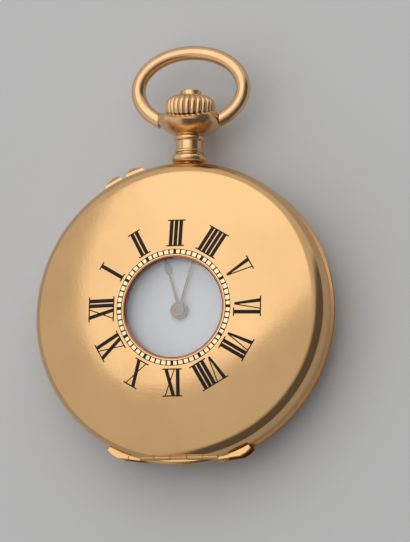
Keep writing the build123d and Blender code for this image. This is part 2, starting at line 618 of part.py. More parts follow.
# Bow: an elliptical ring open at the bowl, its ends carrying short pivots
BOW_END_X = FLAT_X + HINGE_PLAY
BOW_END_ANGLE = degrees(acos(BOW_END_X / BOW_HALF_W))
BOW_CENTRE_Y = BOWL_WIDE + BOW_HALF_H * sin(radians(BOW_END_ANGLE))
BOW_ROOT_ANGLE = BOW_END_ANGLE * 1.15
with BuildPart() as bow:
    with BuildLine(Plane.XY.offset(MID_Z)) as ring_path:
        EllipticalCenterArc((0, BOW_CENTRE_Y), BOW_HALF_W, BOW_HALF_H,
                            start_angle=-BOW_ROOT_ANGLE, arc_size=180 + 2 * BOW_ROOT_ANGLE)
    with BuildSketch(Plane(origin=ring_path.line @ 0, z_dir=ring_path.line % 0)) as wire:
        Circle(BOW_WIRE_R)
    sweep(wire.sketch, path=ring_path.line)
    slab((-BOW_END_X, CASE_R), (BOW_END_X, BOW_CENTRE_Y), 0, OVERRUN, Mode.SUBTRACT)
    for side in (-1, 1):
        inner = side * (FLAT_X - BOW_PIVOT_DEPTH + HINGE_PLAY)
        outer = side * (BOW_END_X + BOW_WIRE_R / 3)
        cross_rod(BOW_PIVOT_R, *sorted((inner, outer)), BOWL_WIDE, MID_Z)

# Crown: fluted round its rolled flank, with a pipe that slides on the square of the stem
CROWN_LOW = CUP_FLOOR + CROWN_TRAVEL + RIM_GAP
CROWN_TOP = CROWN_LOW + CROWN_H
PIPE_R = PENDANT_BORE_R * 0.85
PIPE_LOW = CHANNEL_R + RIM_GAP
STEM_TIP = CUP_FLOOR + BOWL_DEPTH * 0.6
flank = [(CROWN_R * 0.84, CROWN_LOW), (CROWN_R, CROWN_LOW + CROWN_H * 0.6), (CROWN_R * 0.5, CROWN_TOP)]


# Centre and radius of the circle through three points of the XY plane.
def circle_through(a, b, c):
    wide = 2 * (a[0] * (b[1] - c[1]) + b[0] * (c[1] - a[1]) + c[0] * (a[1] - b[1]))
    squares = [x * x + y * y for x, y in (a, b, c)]
    x = (squares[0] * (b[1] - c[1]) + squares[1] * (c[1] - a[1]) + squares[2] * (a[1] - b[1])) / wide
    y = (squares[0] * (c[0] - b[0]) + squares[1] * (a[0] - c[0]) + squares[2] * (b[0] - a[0])) / wide
    return x, y, hypot(a[0] - x, a[1] - y)


flank_x, flank_y, flank_r = circle_through(*flank)
flute_low, flute_high = [degrees(atan2(y - flank_y, x - flank_x)) for x, y in (flank[0], flank[2])]
FLUTE_RUNOUT = 8
with BuildPart() as flute:
    turn = radians(flute_low - FLUTE_RUNOUT)
    with BuildSketch(Plane(origin=(flank_x + flank_r * cos(turn), flank_y + flank_r * sin(turn), MID_Z),
                           x_dir=(0, 0, 1), z_dir=(-sin(turn), cos(turn), 0))) as groove:
        Circle(CROWN_RIB_CUT_R)
    revolve(groove.sketch, axis=Axis((flank_x, flank_y, MID_Z), (0, 0, 1)),
            revolution_arc=flute_high - flute_low)
with BuildPart() as crown:
    with BuildSketch(Plane.XY.offset(MID_Z)) as profile:
        with BuildLine():
            Line((0, CROWN_LOW), flank[0])
            ThreePointArc(*flank)
            Polyline(flank[2], (CROWN_CAP_R + SERIF_W, CROWN_TOP), (CROWN_CAP_R, CROWN_TOP),
                     (CROWN_CAP_R, CROWN_TOP + CROWN_CAP_H * 0.7),
                     (CROWN_CAP_R * 0.8, CROWN_TOP + CROWN_CAP_H), (0, CROWN_TOP + CROWN_CAP_H),
                     (0, CROWN_LOW))
        make_face()
    revolve(profile.sketch, axis=Y_AXIS)
    stem_rod(PIPE_R, PIPE_LOW, CROWN_LOW + RIM_GAP)
    stem_rod(STEM_R + RUN_PLAY, PIPE_LOW, STEM_TIP + CROWN_TRAVEL + RIM_GAP, Mode.SUBTRACT)
    for rib in range(CROWN_RIBS):
        add(flute.part.rotate(Y_AXIS, rib * 360 / CROWN_RIBS), mode=Mode.SUBTRACT)

# Bezel and crystal
BEZEL_LOW = DIAL_TOP + RIM_GAP
CRYSTAL_R = DIAL_R - BEZEL_W * 0.2
CRYSTAL_LOW = BEZEL_LOW + BEZEL_H * 0.4
with BuildPart() as bezel:
    turned([(DIAL_R - BEZEL_W * 0.45, BEZEL_LOW), (DIAL_R + BEZEL_W * 0.75, BEZEL_LOW),
            (DIAL_R + BEZEL_W * 0.75, BEZEL_LOW + BEZEL_H * 0.35),
            (CRYSTAL_R + RIM_GAP + COVER_WALL * 0.6, BEZEL_LOW + BEZEL_H * 0.8),
            (CRYSTAL_R + RIM_GAP, BEZEL_LOW + BEZEL_H * 0.8), (CRYSTAL_R + RIM_GAP, CRYSTAL_LOW),
            (DIAL_R - BEZEL_W * 0.45, CRYSTAL_LOW)])
crystal_big_r = (CRYSTAL_R**2 + CRYSTAL_RISE**2) / (2 * CRYSTAL_RISE)
with BuildPart() as crystal:
    with BuildSketch(Plane.XZ) as section:
        with BuildLine():
            low, high = CRYSTAL_LOW + RUN_PLAY, CRYSTAL_LOW + CRYSTAL_T * 0.5
            RadiusArc((0, high + CRYSTAL_RISE - RUN_PLAY), (CRYSTAL_R, high), crystal_big_r)
            Line((CRYSTAL_R, high), (CRYSTAL_R, low))
            RadiusArc((0, low + CRYSTAL_RISE - CRYSTAL_T * 0.5), (CRYSTAL_R, low), crystal_big_r)
            Line((0, high + CRYSTAL_RISE - RUN_PLAY), (0, low + CRYSTAL_RISE - CRYSTAL_T * 0.5))
        make_face()
    revolve(section.sketch, axis=Axis.Z)

# Places of the movement's arbors, as shares of its radius
CENTRE = (0, 0)


def place_from(x_share, y_share):
    return MOVEMENT_R * x_share, MOVEMENT_R * y_share


BARREL = place_from(-0.40, 0.2244)
THIRD = place_from(0.195, -0.249)
FOURTH = place_from(0.454, -0.1415)
ESCAPE = place_from(0.537, -0.385)
PALLET = place_from(0.361, -0.517)
BALANCE = place_from(0.117, -0.634)
CROWN_WHEEL = place_from(0, 0.5366)
MINUTE_WHEEL = place_from(0, 0.195)
CLICK = place_from(-0.745, 0.08)
YOKE = place_from(-0.463, 0.5366)
BARREL_FEET = [place_from(-0.854, -0.107), place_from(0.659, 0.585), place_from(0.234, 0.868)]
TRAIN_FEET = [place_from(0.805, -0.049), place_from(-0.215, -0.40), place_from(0.80, -0.415)]
COCK_FEET = [place_from(-0.44, -0.66)]
PALLET_FEET = [place_from(0.50, -0.70)]

# Tooth counts
BARREL_TEETH, CENTRE_LEAVES, CENTRE_TEETH, THIRD_LEAVES = 72, 9, 64, 8
THIRD_TEETH, FOURTH_LEAVES, FOURTH_TEETH, ESCAPE_LEAVES, ESCAPE_TEETH = 60, 8, 70, 7, 15
CANNON_LEAVES, MINUTE_TEETH, MINUTE_LEAVES, HOUR_TEETH, SETTING_TEETH = 10, 30, 8, 32, 20
WINDING_LEAVES, CROWN_WHEEL_TEETH, RATCHET_TEETH = 14, 34, 50

# Levels of the wheels, stacked down from the mainplate
STACK = WHEEL_GAP + WHEEL_T
CENTRE_WHEEL_Z = PLATE_BOTTOM - STACK
ESCAPE_WHEEL_Z = CENTRE_WHEEL_Z - STACK
THIRD_WHEEL_Z = ESCAPE_WHEEL_Z - STACK
FOURTH_WHEEL_Z = THIRD_WHEEL_Z - STACK
RATCHET_Z = BRIDGE_TOP + WHEEL_GAP
RATCHET_T = WHEEL_T * 2
BARREL_Z = RATCHET_Z + RATCHET_T + WHEEL_GAP * 2
BARREL_TOP = CENTRE_WHEEL_Z - WHEEL_GAP
BARREL_TOOTH_T = PINION_T
BALANCE_Z = BRIDGE_TOP + WHEEL_GAP
BALANCE_T = 0.6
BALANCE_R = 6.0
TIMING_SCREWS = 14
COCK_T = BRIDGE_T * 0.65
LEAF_LAP = (PINION_T - WHEEL_T) / 2


def apart(one, other):
    return hypot(other[0] - one[0], other[1] - one[1])


def bearing(one, other):
    return degrees(atan2(other[1] - one[1], other[0] - one[0]))


# Pitch radius of the first of two meshing gears
def pitch_r(one, other, teeth, other_teeth):
    return apart(one, other) * teeth / (teeth + other_teeth)


# Turn of the second gear that puts its gap on the first gear's tooth
def in_mesh(one, other, phase, teeth, other_teeth):
    line = bearing(one, other)
    lead = ((line - phase) / (360 / teeth)) % 1
    return line + 180 + (lead + 0.5) * 360 / other_teeth


ROOT_SHARE = 1.2
TIP_SHARE = 0.75
ROOT_WIDTH_SHARE = 0.30
TIP_WIDTH_SHARE = 0.13


def gear_points(place, radius, teeth, phase):
    module = 2 * radius / teeth
    root, tip = radius - ROOT_SHARE * module, radius + TIP_SHARE * module
    step = 360 / teeth
    points = []
    for tooth in range(teeth):
        middle = phase + tooth * step
        for width_share, r in ((-ROOT_WIDTH_SHARE, root), (-TIP_WIDTH_SHARE, tip),
                               (TIP_WIDTH_SHARE, tip), (ROOT_WIDTH_SHARE, root)):
            points.append(shifted(place, r, middle + width_share * step))
    return points


def gear(place, radius, teeth, phase, z0, z1, mode=Mode.ADD):
    with BuildSketch() as outline:
        Polygon(*gear_points(place, radius, teeth, phase), align=None)
    plan(outline.sketch, z0, z1, mode)


# Windows between the spokes of a wheel
def crossings(place, rim_in_r, hub_r, arms, arm_w, phase, z0, z1):
    with BuildSketch() as windows:
        with Locations(place):
            Circle(rim_in_r)
            Circle(hub_r, mode=Mode.SUBTRACT)
            for arm in range(arms):
                with Locations(Location((*polar(rim_in_r / 2, phase + arm * 360 / arms), 0),
                                        (0, 0, phase + arm * 360 / arms))):
                    Rectangle(rim_in_r * 1.1, arm_w, mode=Mode.SUBTRACT)
    plan(windows.sketch, z0, z1, Mode.SUBTRACT)


SPOKE_W = 0.45
HUB_R = 1.0


def spoked_gear(place, radius, teeth, phase, z, thick, arms=5):
    gear(place, radius, teeth, phase, z, z + thick)
    crossings(place, radius * 0.84, HUB_R, arms, SPOKE_W, phase, z, z + thick)


def staff(place, radius=None):
    body_r = radius or STAFF_R
    rod(place, body_r, BRIDGE_TOP + RUN_PLAY, PLATE_BOTTOM - RUN_PLAY)
    rod(place, PIVOT_R, BRIDGE_TOP - JEWEL_T, PLATE_BOTTOM + JEWEL_T)


# Gear phases, worked out from one gear to the next so that every pair is in mesh at rest
BARREL_R = pitch_r(BARREL, CENTRE, BARREL_TEETH, CENTRE_LEAVES)
centre_pinion_phase = in_mesh(BARREL, CENTRE, 0, BARREL_TEETH, CENTRE_LEAVES)
third_pinion_phase = in_mesh(CENTRE, THIRD, 0, CENTRE_TEETH, THIRD_LEAVES)
fourth_pinion_phase = in_mesh(THIRD, FOURTH, 0, THIRD_TEETH, FOURTH_LEAVES)
escape_pinion_phase = in_mesh(FOURTH, ESCAPE, 0, FOURTH_TEETH, ESCAPE_LEAVES)

with BuildPart() as barrel:
    rod(BARREL, BARREL_R * 0.95, BARREL_Z, BARREL_TOP)
    gear(BARREL, BARREL_R, BARREL_TEETH, 0, BARREL_Z, BARREL_Z + BARREL_TOOTH_T)
    BARREL_WALL = WHEEL_T
    BARREL_IN_R = BARREL_R * 0.95 - BARREL_WALL * 2
    rod(BARREL, BARREL_IN_R, BARREL_Z + BARREL_WALL, BARREL_TOP - BARREL_WALL, Mode.SUBTRACT)
    ARBOR_R = STEM_R * 1.2
    rod(BARREL, ARBOR_R + RUN_PLAY, BARREL_Z, BARREL_TOP, Mode.SUBTRACT)

# Mainspring, a spiral ribbon let down against the barrel's wall
SPRING_TURNS = 7
RIBBON_T = 0.14
RIBBON_PITCH = RIBBON_T * 2
with BuildPart() as mainspring:
    outer_r = BARREL_IN_R - RIBBON_T
    steps = SPRING_TURNS * 16
    line = [(outer_r - RIBBON_PITCH * SPRING_TURNS * k / steps, 360 * SPRING_TURNS * k / steps)
            for k in range(steps + 1)]
    outside = [shifted(BARREL, r, a) for r, a in line]
    inside = [shifted(BARREL, r - RIBBON_T, a) for r, a in reversed(line)]
    with BuildSketch() as ribbon:
        Polygon(*outside, *inside, align=None)
    plan(ribbon.sketch, BARREL_Z + BARREL_WALL + RUN_PLAY, BARREL_TOP - BARREL_WALL - RUN_PLAY)

with BuildPart() as barrel_arbor:
    rod(BARREL, ARBOR_R, BRIDGE_BOTTOM + BRIDGE_T / 4, PLATE_BOTTOM + PLATE_T * 0.6)

with BuildPart() as centre_wheel:
    spoked_gear(CENTRE, pitch_r(CENTRE, THIRD, CENTRE_TEETH, THIRD_LEAVES), CENTRE_TEETH, 0,
                CENTRE_WHEEL_Z, WHEEL_T)
    gear(CENTRE, pitch_r(CENTRE, BARREL, CENTRE_LEAVES, BARREL_TEETH), CENTRE_LEAVES,
         centre_pinion_phase, BARREL_Z - LEAF_LAP, BARREL_Z + BARREL_TOOTH_T + LEAF_LAP)
    staff(CENTRE)
    rod(CENTRE, STAFF_R, PLATE_BOTTOM - RUN_PLAY, DIAL_TOP + CRYSTAL_RISE * 0.7)

with BuildPart() as third_wheel:
    spoked_gear(THIRD, pitch_r(THIRD, FOURTH, THIRD_TEETH, FOURTH_LEAVES), THIRD_TEETH, 0,
                THIRD_WHEEL_Z, WHEEL_T)
    gear(THIRD, pitch_r(THIRD, CENTRE, THIRD_LEAVES, CENTRE_TEETH), THIRD_LEAVES,
         third_pinion_phase, CENTRE_WHEEL_Z - LEAF_LAP, CENTRE_WHEEL_Z + WHEEL_T + LEAF_LAP)
    staff(THIRD)

with BuildPart() as fourth_wheel:
    spoked_gear(FOURTH, pitch_r(FOURTH, ESCAPE, FOURTH_TEETH, ESCAPE_LEAVES), FOURTH_TEETH, 0,
                FOURTH_WHEEL_Z, WHEEL_T)
    gear(FOURTH, pitch_r(FOURTH, THIRD, FOURTH_LEAVES, THIRD_TEETH), FOURTH_LEAVES,
         fourth_pinion_phase, THIRD_WHEEL_Z - LEAF_LAP, THIRD_WHEEL_Z + WHEEL_T + LEAF_LAP)
    staff(FOURTH)

ESCAPE_R = 3.2
ESCAPE_ROOT_SHARE = 0.72
ESCAPE_LEAN_SHARE = 0.42
with BuildPart() as escape_wheel:
    pitch = 360 / ESCAPE_TEETH
    points = []
    for tooth in range(ESCAPE_TEETH):
        points += [shifted(ESCAPE, ESCAPE_R * ESCAPE_ROOT_SHARE, tooth * pitch),
                   shifted(ESCAPE, ESCAPE_R, (tooth + ESCAPE_LEAN_SHARE) * pitch),
                   shifted(ESCAPE, ESCAPE_R, (tooth + ESCAPE_LEAN_SHARE * 1.2) * pitch),
                   shifted(ESCAPE, ESCAPE_R * ESCAPE_ROOT_SHARE, (tooth + ESCAPE_LEAN_SHARE) * pitch)]
    with BuildSketch() as outline:
        Polygon(*points, align=None)
    plan(outline.sketch, ESCAPE_WHEEL_Z, ESCAPE_WHEEL_Z + WHEEL_T)
    crossings(ESCAPE, ESCAPE_R * 0.58, HUB_R * 0.7, 4, SPOKE_W * 0.8, 0, ESCAPE_WHEEL_Z,
              ESCAPE_WHEEL_Z + WHEEL_T)
    gear(ESCAPE, pitch_r(ESCAPE, FOURTH, ESCAPE_LEAVES, FOURTH_TEETH), ESCAPE_LEAVES,
         escape_pinion_phase, FOURTH_WHEEL_Z - LEAF_LAP, FOURTH_WHEEL_Z + WHEEL_T + LEAF_LAP)
    staff(ESCAPE, STAFF_R * 0.8)

# Pallet fork: a lever to the balance and two arms that end in stones beside the escape wheel
STONE_SPREAD = 32.0
STONE_CLEAR = 0.3
STONE_L = 0.55
to_pallet = bearing(ESCAPE, PALLET)
LEVER_L = apart(PALLET, BALANCE) * 0.72
FORK_W = 0.4
with BuildPart() as pallet_fork:
    with BuildSketch() as outline:
        with Locations(PALLET):
            Circle(HUB_R * 0.6)
        for side in (-1, 1):
            stone = shifted(ESCAPE, ESCAPE_R + STONE_CLEAR + STONE_L / 2, to_pallet + side * STONE_SPREAD)
            middle = ((PALLET[0] + stone[0]) / 2, (PALLET[1] + stone[1]) / 2)
            with Locations(Location((*middle, 0), (0, 0, bearing(PALLET, stone)))):
                Rectangle(apart(PALLET, stone), FORK_W)
            with Locations(Location((*stone, 0), (0, 0, bearing(ESCAPE, stone)))):
                Rectangle(STONE_L, FORK_W * 1.2)
        tip = shifted(PALLET, LEVER_L / 2, bearing(PALLET, BALANCE))
        with Locations(Location((*tip, 0), (0, 0, bearing(PALLET, BALANCE)))):
            Rectangle(LEVER_L, FORK_W)
            with Locations((LEVER_L / 2, 0)):
                Rectangle(FORK_W, FORK_W * 2.4)
                with Locations((FORK_W / 3, 0)):
                    Rectangle(FORK_W, FORK_W * 0.8, mode=Mode.SUBTRACT)
    plan(outline.sketch, ESCAPE_WHEEL_Z, ESCAPE_WHEEL_Z + WHEEL_T)
    PALLET_COCK_TOP = ESCAPE_WHEEL_Z - WHEEL_GAP
    PALLET_COCK_LOW = BALANCE_Z + BALANCE_T + WHEEL_GAP * 2
    rod(PALLET, STAFF_R * 0.8, PALLET_COCK_TOP + RUN_PLAY, PLATE_BOTTOM - RUN_PLAY)
    rod(PALLET, PIVOT_R, PALLET_COCK_TOP - JEWEL_T, PLATE_BOTTOM + JEWEL_T)

with BuildPart() as balance:
    rod(BALANCE, BALANCE_R, BALANCE_Z, BALANCE_Z + BALANCE_T)
    crossings(BALANCE, BALANCE_R * 0.88, HUB_R * 0.8, 2, SPOKE_W * 1.6, 0, BALANCE_Z,
              BALANCE_Z + BALANCE_T)
    rod(BALANCE, STAFF_R * 1.2, BALANCE_Z - WHEEL_GAP, PLATE_BOTTOM - RUN_PLAY)
    rod(BALANCE, PIVOT_R, BRIDGE_BOTTOM + COCK_T - JEWEL_T, PLATE_BOTTOM + JEWEL_T)
    rod(BALANCE, HUB_R * 0.9, ESCAPE_WHEEL_Z, ESCAPE_WHEEL_Z + WHEEL_T)
    for k in range(TIMING_SCREWS):
        angle = 360 / TIMING_SCREWS * (k + 0.5)
        with Locations(Plane(origin=(*shifted(BALANCE, BALANCE_R - RIM_GAP, angle),
                                     BALANCE_Z + BALANCE_T / 2), z_dir=(*polar(1, angle), 0))):
            Cylinder(BALANCE_T * 0.42, BALANCE_T * 0.6, align=BOTTOM)

# Balance spring, a flat spiral under the cock
HAIR_TURNS = 9
HAIR_T = 0.09
HAIR_IN_R = HUB_R
HAIR_OUT_R = BALANCE_R * 0.62
HAIR_Z = BRIDGE_BOTTOM + COCK_T + WHEEL_GAP / 2
with BuildPart() as balance_spring:
    steps = HAIR_TURNS * 16
    line = [(HAIR_IN_R + (HAIR_OUT_R - HAIR_IN_R) * k / steps, 360 * HAIR_TURNS * k / steps)
            for k in range(steps + 1)]
    outside = [shifted(BALANCE, r + HAIR_T, a) for r, a in line]
    inside = [shifted(BALANCE, r, a) for r, a in reversed(line)]
    with BuildSketch() as ribbon:
        Polygon(*outside, *inside, align=None)
    plan(ribbon.sketch, HAIR_Z, HAIR_Z + HAIR_T * 2.5)

# Motion work on the dial side
MOTION_Z = RECESS_Z + WHEEL_GAP
MOTION_T = WHEEL_T * 1.3
HOUR_WHEEL_Z = MOTION_Z + MOTION_T * 2
CANNON_R = pitch_r(CENTRE, MINUTE_WHEEL, CANNON_LEAVES, MINUTE_TEETH)
MINUTE_R = pitch_r(MINUTE_WHEEL, CENTRE, MINUTE_TEETH, CANNON_LEAVES)
HOUR_R = pitch_r(CENTRE, MINUTE_WHEEL, HOUR_TEETH, MINUTE_LEAVES)
SETTING_R = MINUTE_R * SETTING_TEETH / MINUTE_TEETH
SETTING_WHEEL = (0, MINUTE_WHEEL[1] + MINUTE_R + SETTING_R)
minute_phase = in_mesh(CENTRE, MINUTE_WHEEL, 0, CANNON_LEAVES, MINUTE_TEETH)
hour_phase = in_mesh(MINUTE_WHEEL, CENTRE, 0, MINUTE_LEAVES, HOUR_TEETH)
setting_phase = in_mesh(MINUTE_WHEEL, SETTING_WHEEL, minute_phase, MINUTE_TEETH, SETTING_TEETH)
CANNON_PIPE_R = STAFF_R * 2
HOUR_PIPE_IN_R = CANNON_PIPE_R + RUN_PLAY
HOUR_PIPE_R = HOUR_PIPE_IN_R * 1.4
HAND_T = 0.15
HOUR_HAND_Z = DIAL_TOP + CRYSTAL_RISE * 0.15
MINUTE_HAND_Z = DIAL_TOP + CRYSTAL_RISE * 0.33
CANNON_TOP = DIAL_TOP + CRYSTAL_RISE * 0.76
with BuildPart() as cannon_pinion:
    gear(CENTRE, CANNON_R, CANNON_LEAVES, 0, MOTION_Z - RUN_PLAY, HOUR_WHEEL_Z - WHEEL_GAP)
    rod(CENTRE, CANNON_PIPE_R, MOTION_Z, CANNON_TOP)
    rod(CENTRE, STAFF_R + RUN_PLAY, 0, CANNON_TOP - RIM_GAP * 2, Mode.SUBTRACT)
with BuildPart() as minute_wheel:
    gear(MINUTE_WHEEL, MINUTE_R, MINUTE_TEETH, minute_phase, MOTION_Z, MOTION_Z + MOTION_T)
    gear(MINUTE_WHEEL, MINUTE_R * MINUTE_LEAVES / MINUTE_TEETH, MINUTE_LEAVES, 0, MOTION_Z,
         HOUR_WHEEL_Z + MOTION_T + RIM_GAP)
    rod(MINUTE_WHEEL, STAFF_R + RUN_PLAY, 0, DIAL_Z, Mode.SUBTRACT)
with BuildPart() as setting_wheel:
    gear(SETTING_WHEEL, SETTING_R, SETTING_TEETH, setting_phase, MOTION_Z, MOTION_Z + MOTION_T)
    rod(SETTING_WHEEL, STAFF_R + RUN_PLAY, 0, DIAL_Z, Mode.SUBTRACT)
with BuildPart() as hour_wheel:
    gear(CENTRE, HOUR_R, HOUR_TEETH, hour_phase, HOUR_WHEEL_Z, HOUR_WHEEL_Z + MOTION_T)
    rod(CENTRE, HOUR_PIPE_R, HOUR_WHEEL_Z, HOUR_HAND_Z + HAND_T)
    rod(CENTRE, HOUR_PIPE_IN_R, 0, CANNON_TOP, Mode.SUBTRACT)

# Hands, drawn along +Y and turned to the time shown
HOUR_HAND_TURN = 17.0
MINUTE_HAND_TURN = -14.5
HOUR_HAND_L = 10.8
MINUTE_HAND_L = 16.2
HAND_W = 0.5
BOSS_R = 1.45
PEAR_AT_SHARE = 0.68
PEAR_HALF_L = 1.15
PEAR_HALF_W = 0.55
with BuildPart() as hour_hand:
    with BuildSketch() as outline:
        Circle(BOSS_R)
        pear_y = HOUR_HAND_L * PEAR_AT_SHARE
        Polygon((-HAND_W / 2, 0), (HAND_W / 2, 0), (HAND_W / 4, pear_y), (-HAND_W / 4, pear_y),
                align=None)
        with Locations((0, pear_y)):
            Ellipse(PEAR_HALF_W, PEAR_HALF_L)
        Polygon((-HAND_W / 3, pear_y), (HAND_W / 3, pear_y), (HAND_W / 12, HOUR_HAND_L),
                (-HAND_W / 12, HOUR_HAND_L), align=None)
        Circle(HOUR_PIPE_R, mode=Mode.SUBTRACT)
    plan(Rot(0, 0, HOUR_HAND_TURN) * outline.sketch, HOUR_HAND_Z, HOUR_HAND_Z + HAND_T)
with BuildPart() as minute_hand:
    with BuildSketch() as outline:
        Circle(BOSS_R)
        Polygon((-HAND_W / 2, 0), (HAND_W / 2, 0), (HAND_W / 8, MINUTE_HAND_L),
                (-HAND_W / 8, MINUTE_HAND_L), align=None)
        Circle(CANNON_PIPE_R, mode=Mode.SUBTRACT)
    plan(Rot(0, 0, MINUTE_HAND_TURN) * outline.sketch, MINUTE_HAND_Z, MINUTE_HAND_Z + HAND_T)
    with BuildSketch() as collar:
        Circle(BOSS_R * 0.6)
        Circle(CANNON_PIPE_R, mode=Mode.SUBTRACT)
    plan(collar.sketch, MINUTE_HAND_Z + HAND_T, MINUTE_HAND_Z + HAND_T * 2)

# Dial with three feet
FOOT_R = 0.35
DIAL_FEET = [polar(MOVEMENT_R * 0.86, angle) for angle in (62.0, 182.0, 302.0)]
with BuildPart() as dial:
    rod(CENTRE, DIAL_R, DIAL_Z, DIAL_TOP)
    rod(CENTRE, HOUR_PIPE_R + WHEEL_GAP, DIAL_Z, DIAL_TOP, Mode.SUBTRACT)
    for foot in DIAL_FEET:
        rod(foot, FOOT_R, PLATE_TOP - PLATE_T / 2, DIAL_Z)
SPACER_R = DIAL_R - FLANGE_W
with BuildPart() as dial_ring:
    rod(CENTRE, SPACER_R, PLATE_TOP, DIAL_Z)
    rod(CENTRE, SPACER_R - FLANGE_W, PLATE_TOP, DIAL_Z, Mode.SUBTRACT)

# Keyless work: stem, winding pinion, clutch, crown wheel, ratchet wheel
PINION_Y = CROWN_WHEEL[1] + pitch_r(CROWN_WHEEL, BARREL, CROWN_WHEEL_TEETH, RATCHET_TEETH)
PINION_HALF_L = 0.75
CLUTCH_L = 2.0
CLUTCH_OUT_Y = PINION_Y - PINION_HALF_L - HINGE_PLAY
CLUTCH_IN_Y = CLUTCH_OUT_Y - CLUTCH_L
STEM_IN_Y = CLUTCH_IN_Y - CLUTCH_TRAVEL
CLUTCH_BORE_R = STEM_R + RUN_PLAY


def fluted_rod(radius, leaves, y0, y1, phase):
    with BuildSketch(Plane(origin=(0, y0, MID_Z), x_dir=(1, 0, 0), z_dir=(0, 1, 0))) as outline:
        Polygon(*gear_points(CENTRE, radius, leaves, phase), align=None)
    extrude(outline.sketch, amount=y1 - y0)


with BuildPart() as winding_stem:
    stem_rod(STEM_R, STEM_IN_Y, STEM_TIP)
with BuildPart() as winding_pinion:
    fluted_rod(WINDING_PINION_R - WHEEL_GAP, WINDING_LEAVES, PINION_Y - PINION_HALF_L,
               PINION_Y + PINION_HALF_L, 90 + 180 / WINDING_LEAVES)
    stem_rod(STEM_R, 0, OVERRUN, Mode.SUBTRACT)
with BuildPart() as clutch:
    stem_rod(CLUTCH_R, CLUTCH_IN_Y, CLUTCH_OUT_Y)
    GROOVE_Y = (CLUTCH_IN_Y + CLUTCH_OUT_Y) / 2
    GROOVE_W = CLUTCH_L * 0.3
    GROOVE_R = CLUTCH_R * 0.63
    with BuildPart(mode=Mode.SUBTRACT):
        stem_rod(CLUTCH_R * 1.1, GROOVE_Y - GROOVE_W / 2, GROOVE_Y + GROOVE_W / 2)
        stem_rod(GROOVE_R, GROOVE_Y - GROOVE_W, GROOVE_Y + GROOVE_W, Mode.SUBTRACT)
    stem_rod(CLUTCH_BORE_R, 0, OVERRUN, Mode.SUBTRACT)

CROWN_WHEEL_R = pitch_r(CROWN_WHEEL, BARREL, CROWN_WHEEL_TEETH, RATCHET_TEETH)
CONTRATE_TOP = MID_Z - WINDING_PINION_R + WHEEL_GAP / 2
CONTRATE_IN_R = CROWN_WHEEL_R * (1 - 2 * ROOT_SHARE / CROWN_WHEEL_TEETH)
ratchet_phase = in_mesh(CROWN_WHEEL, BARREL, 90, CROWN_WHEEL_TEETH, RATCHET_TEETH)
with BuildPart() as crown_wheel:
    gear(CROWN_WHEEL, CROWN_WHEEL_R, CROWN_WHEEL_TEETH, 90, RATCHET_Z, CONTRATE_TOP)
    rod(CROWN_WHEEL, CONTRATE_IN_R, RATCHET_Z + RATCHET_T, CONTRATE_TOP, Mode.SUBTRACT)
    rod(CROWN_WHEEL, ARBOR_R + RUN_PLAY, RATCHET_Z, CONTRATE_TOP, Mode.SUBTRACT)
with BuildPart() as ratchet_wheel:
    gear(BARREL, pitch_r(BARREL, CROWN_WHEEL, RATCHET_TEETH, CROWN_WHEEL_TEETH), RATCHET_TEETH,
         ratchet_phase, RATCHET_Z, RATCHET_Z + RATCHET_T)
    rod(BARREL, ARBOR_R, RATCHET_Z, RATCHET_Z + RATCHET_T, Mode.SUBTRACT)

# Click with its spring beside the ratchet wheel
RATCHET_TIP_R = pitch_r(BARREL, CROWN_WHEEL, RATCHET_TEETH, CROWN_WHEEL_TEETH) * (
    1 + 2 * TIP_SHARE / RATCHET_TEETH)
CLICK_R = 0.75
click_line = bearing(BARREL, CLICK) + 14
click_tip = shifted(BARREL, RATCHET_TIP_R + RUN_PLAY, click_line)
with BuildPart() as click:
    with BuildSketch() as outline:
        with Locations(CLICK):
            Circle(CLICK_R)
        Polygon(click_tip, shifted(CLICK, CLICK_R, bearing(CLICK, click_tip) + 80),
                shifted(CLICK, CLICK_R, bearing(CLICK, click_tip) - 80), align=None)
        with Locations(CLICK):
            Circle(STAFF_R + RUN_PLAY, mode=Mode.SUBTRACT)
    plan(outline.sketch, RATCHET_Z, RATCHET_Z + RATCHET_T)
SPRING_BAR = 0.25
with BuildPart() as click_spring:
    spring_root = shifted(CLICK, CLICK_R * 6, -75)
    spring_end = shifted(CLICK, CLICK_R + SPRING_BAR, 180)
    middle = ((spring_root[0] + spring_end[0]) / 2, (spring_root[1] + spring_end[1]) / 2)
    with BuildSketch() as outline:
        with Locations(spring_root):
            Circle(CLICK_R * 0.9)
        with Locations(Location((*middle, 0), (0, 0, bearing(spring_root, spring_end)))):
            Rectangle(apart(spring_root, spring_end), SPRING_BAR)
    plan(outline.sketch, BRIDGE_TOP, RATCHET_Z + RATCHET_T)

# Yoke and setting pin
YOKE_Z = BARREL_TOP + WHEEL_GAP / 2
YOKE_TOP = PLATE_BOTTOM - RIM_GAP
PIN_IN_R = MOVEMENT_R * 0.895
yoke_pad = polar(PIN_IN_R - HINGE_PLAY, SETTING_PIN_ANGLE)
yoke_end = (-GROOVE_R - CLUTCH_R * 0.22, GROOVE_Y)
with BuildPart() as yoke:
    with BuildSketch() as outline:
        with Locations(YOKE):
            Circle(CLICK_R)
        for end in (yoke_end, yoke_pad):
            sides = [shifted(YOKE, CLICK_R * 0.7, bearing(YOKE, end) + turn) for turn in (90, -90)]
            ends = [shifted(end, GROOVE_W * 0.3, bearing(YOKE, end) + turn) for turn in (-90, 90)]
            Polygon(*sides, *ends, align=None)
        with Locations(YOKE):
            Circle(STAFF_R + RUN_PLAY, mode=Mode.SUBTRACT)
    plan(outline.sketch, YOKE_Z, YOKE_TOP)
with BuildPart() as setting_pin:
    setting_pin_rod(SETTING_PIN_R, PIN_IN_R + GROOVE_W * 0.3, BAND_R + PIN_PROUD)

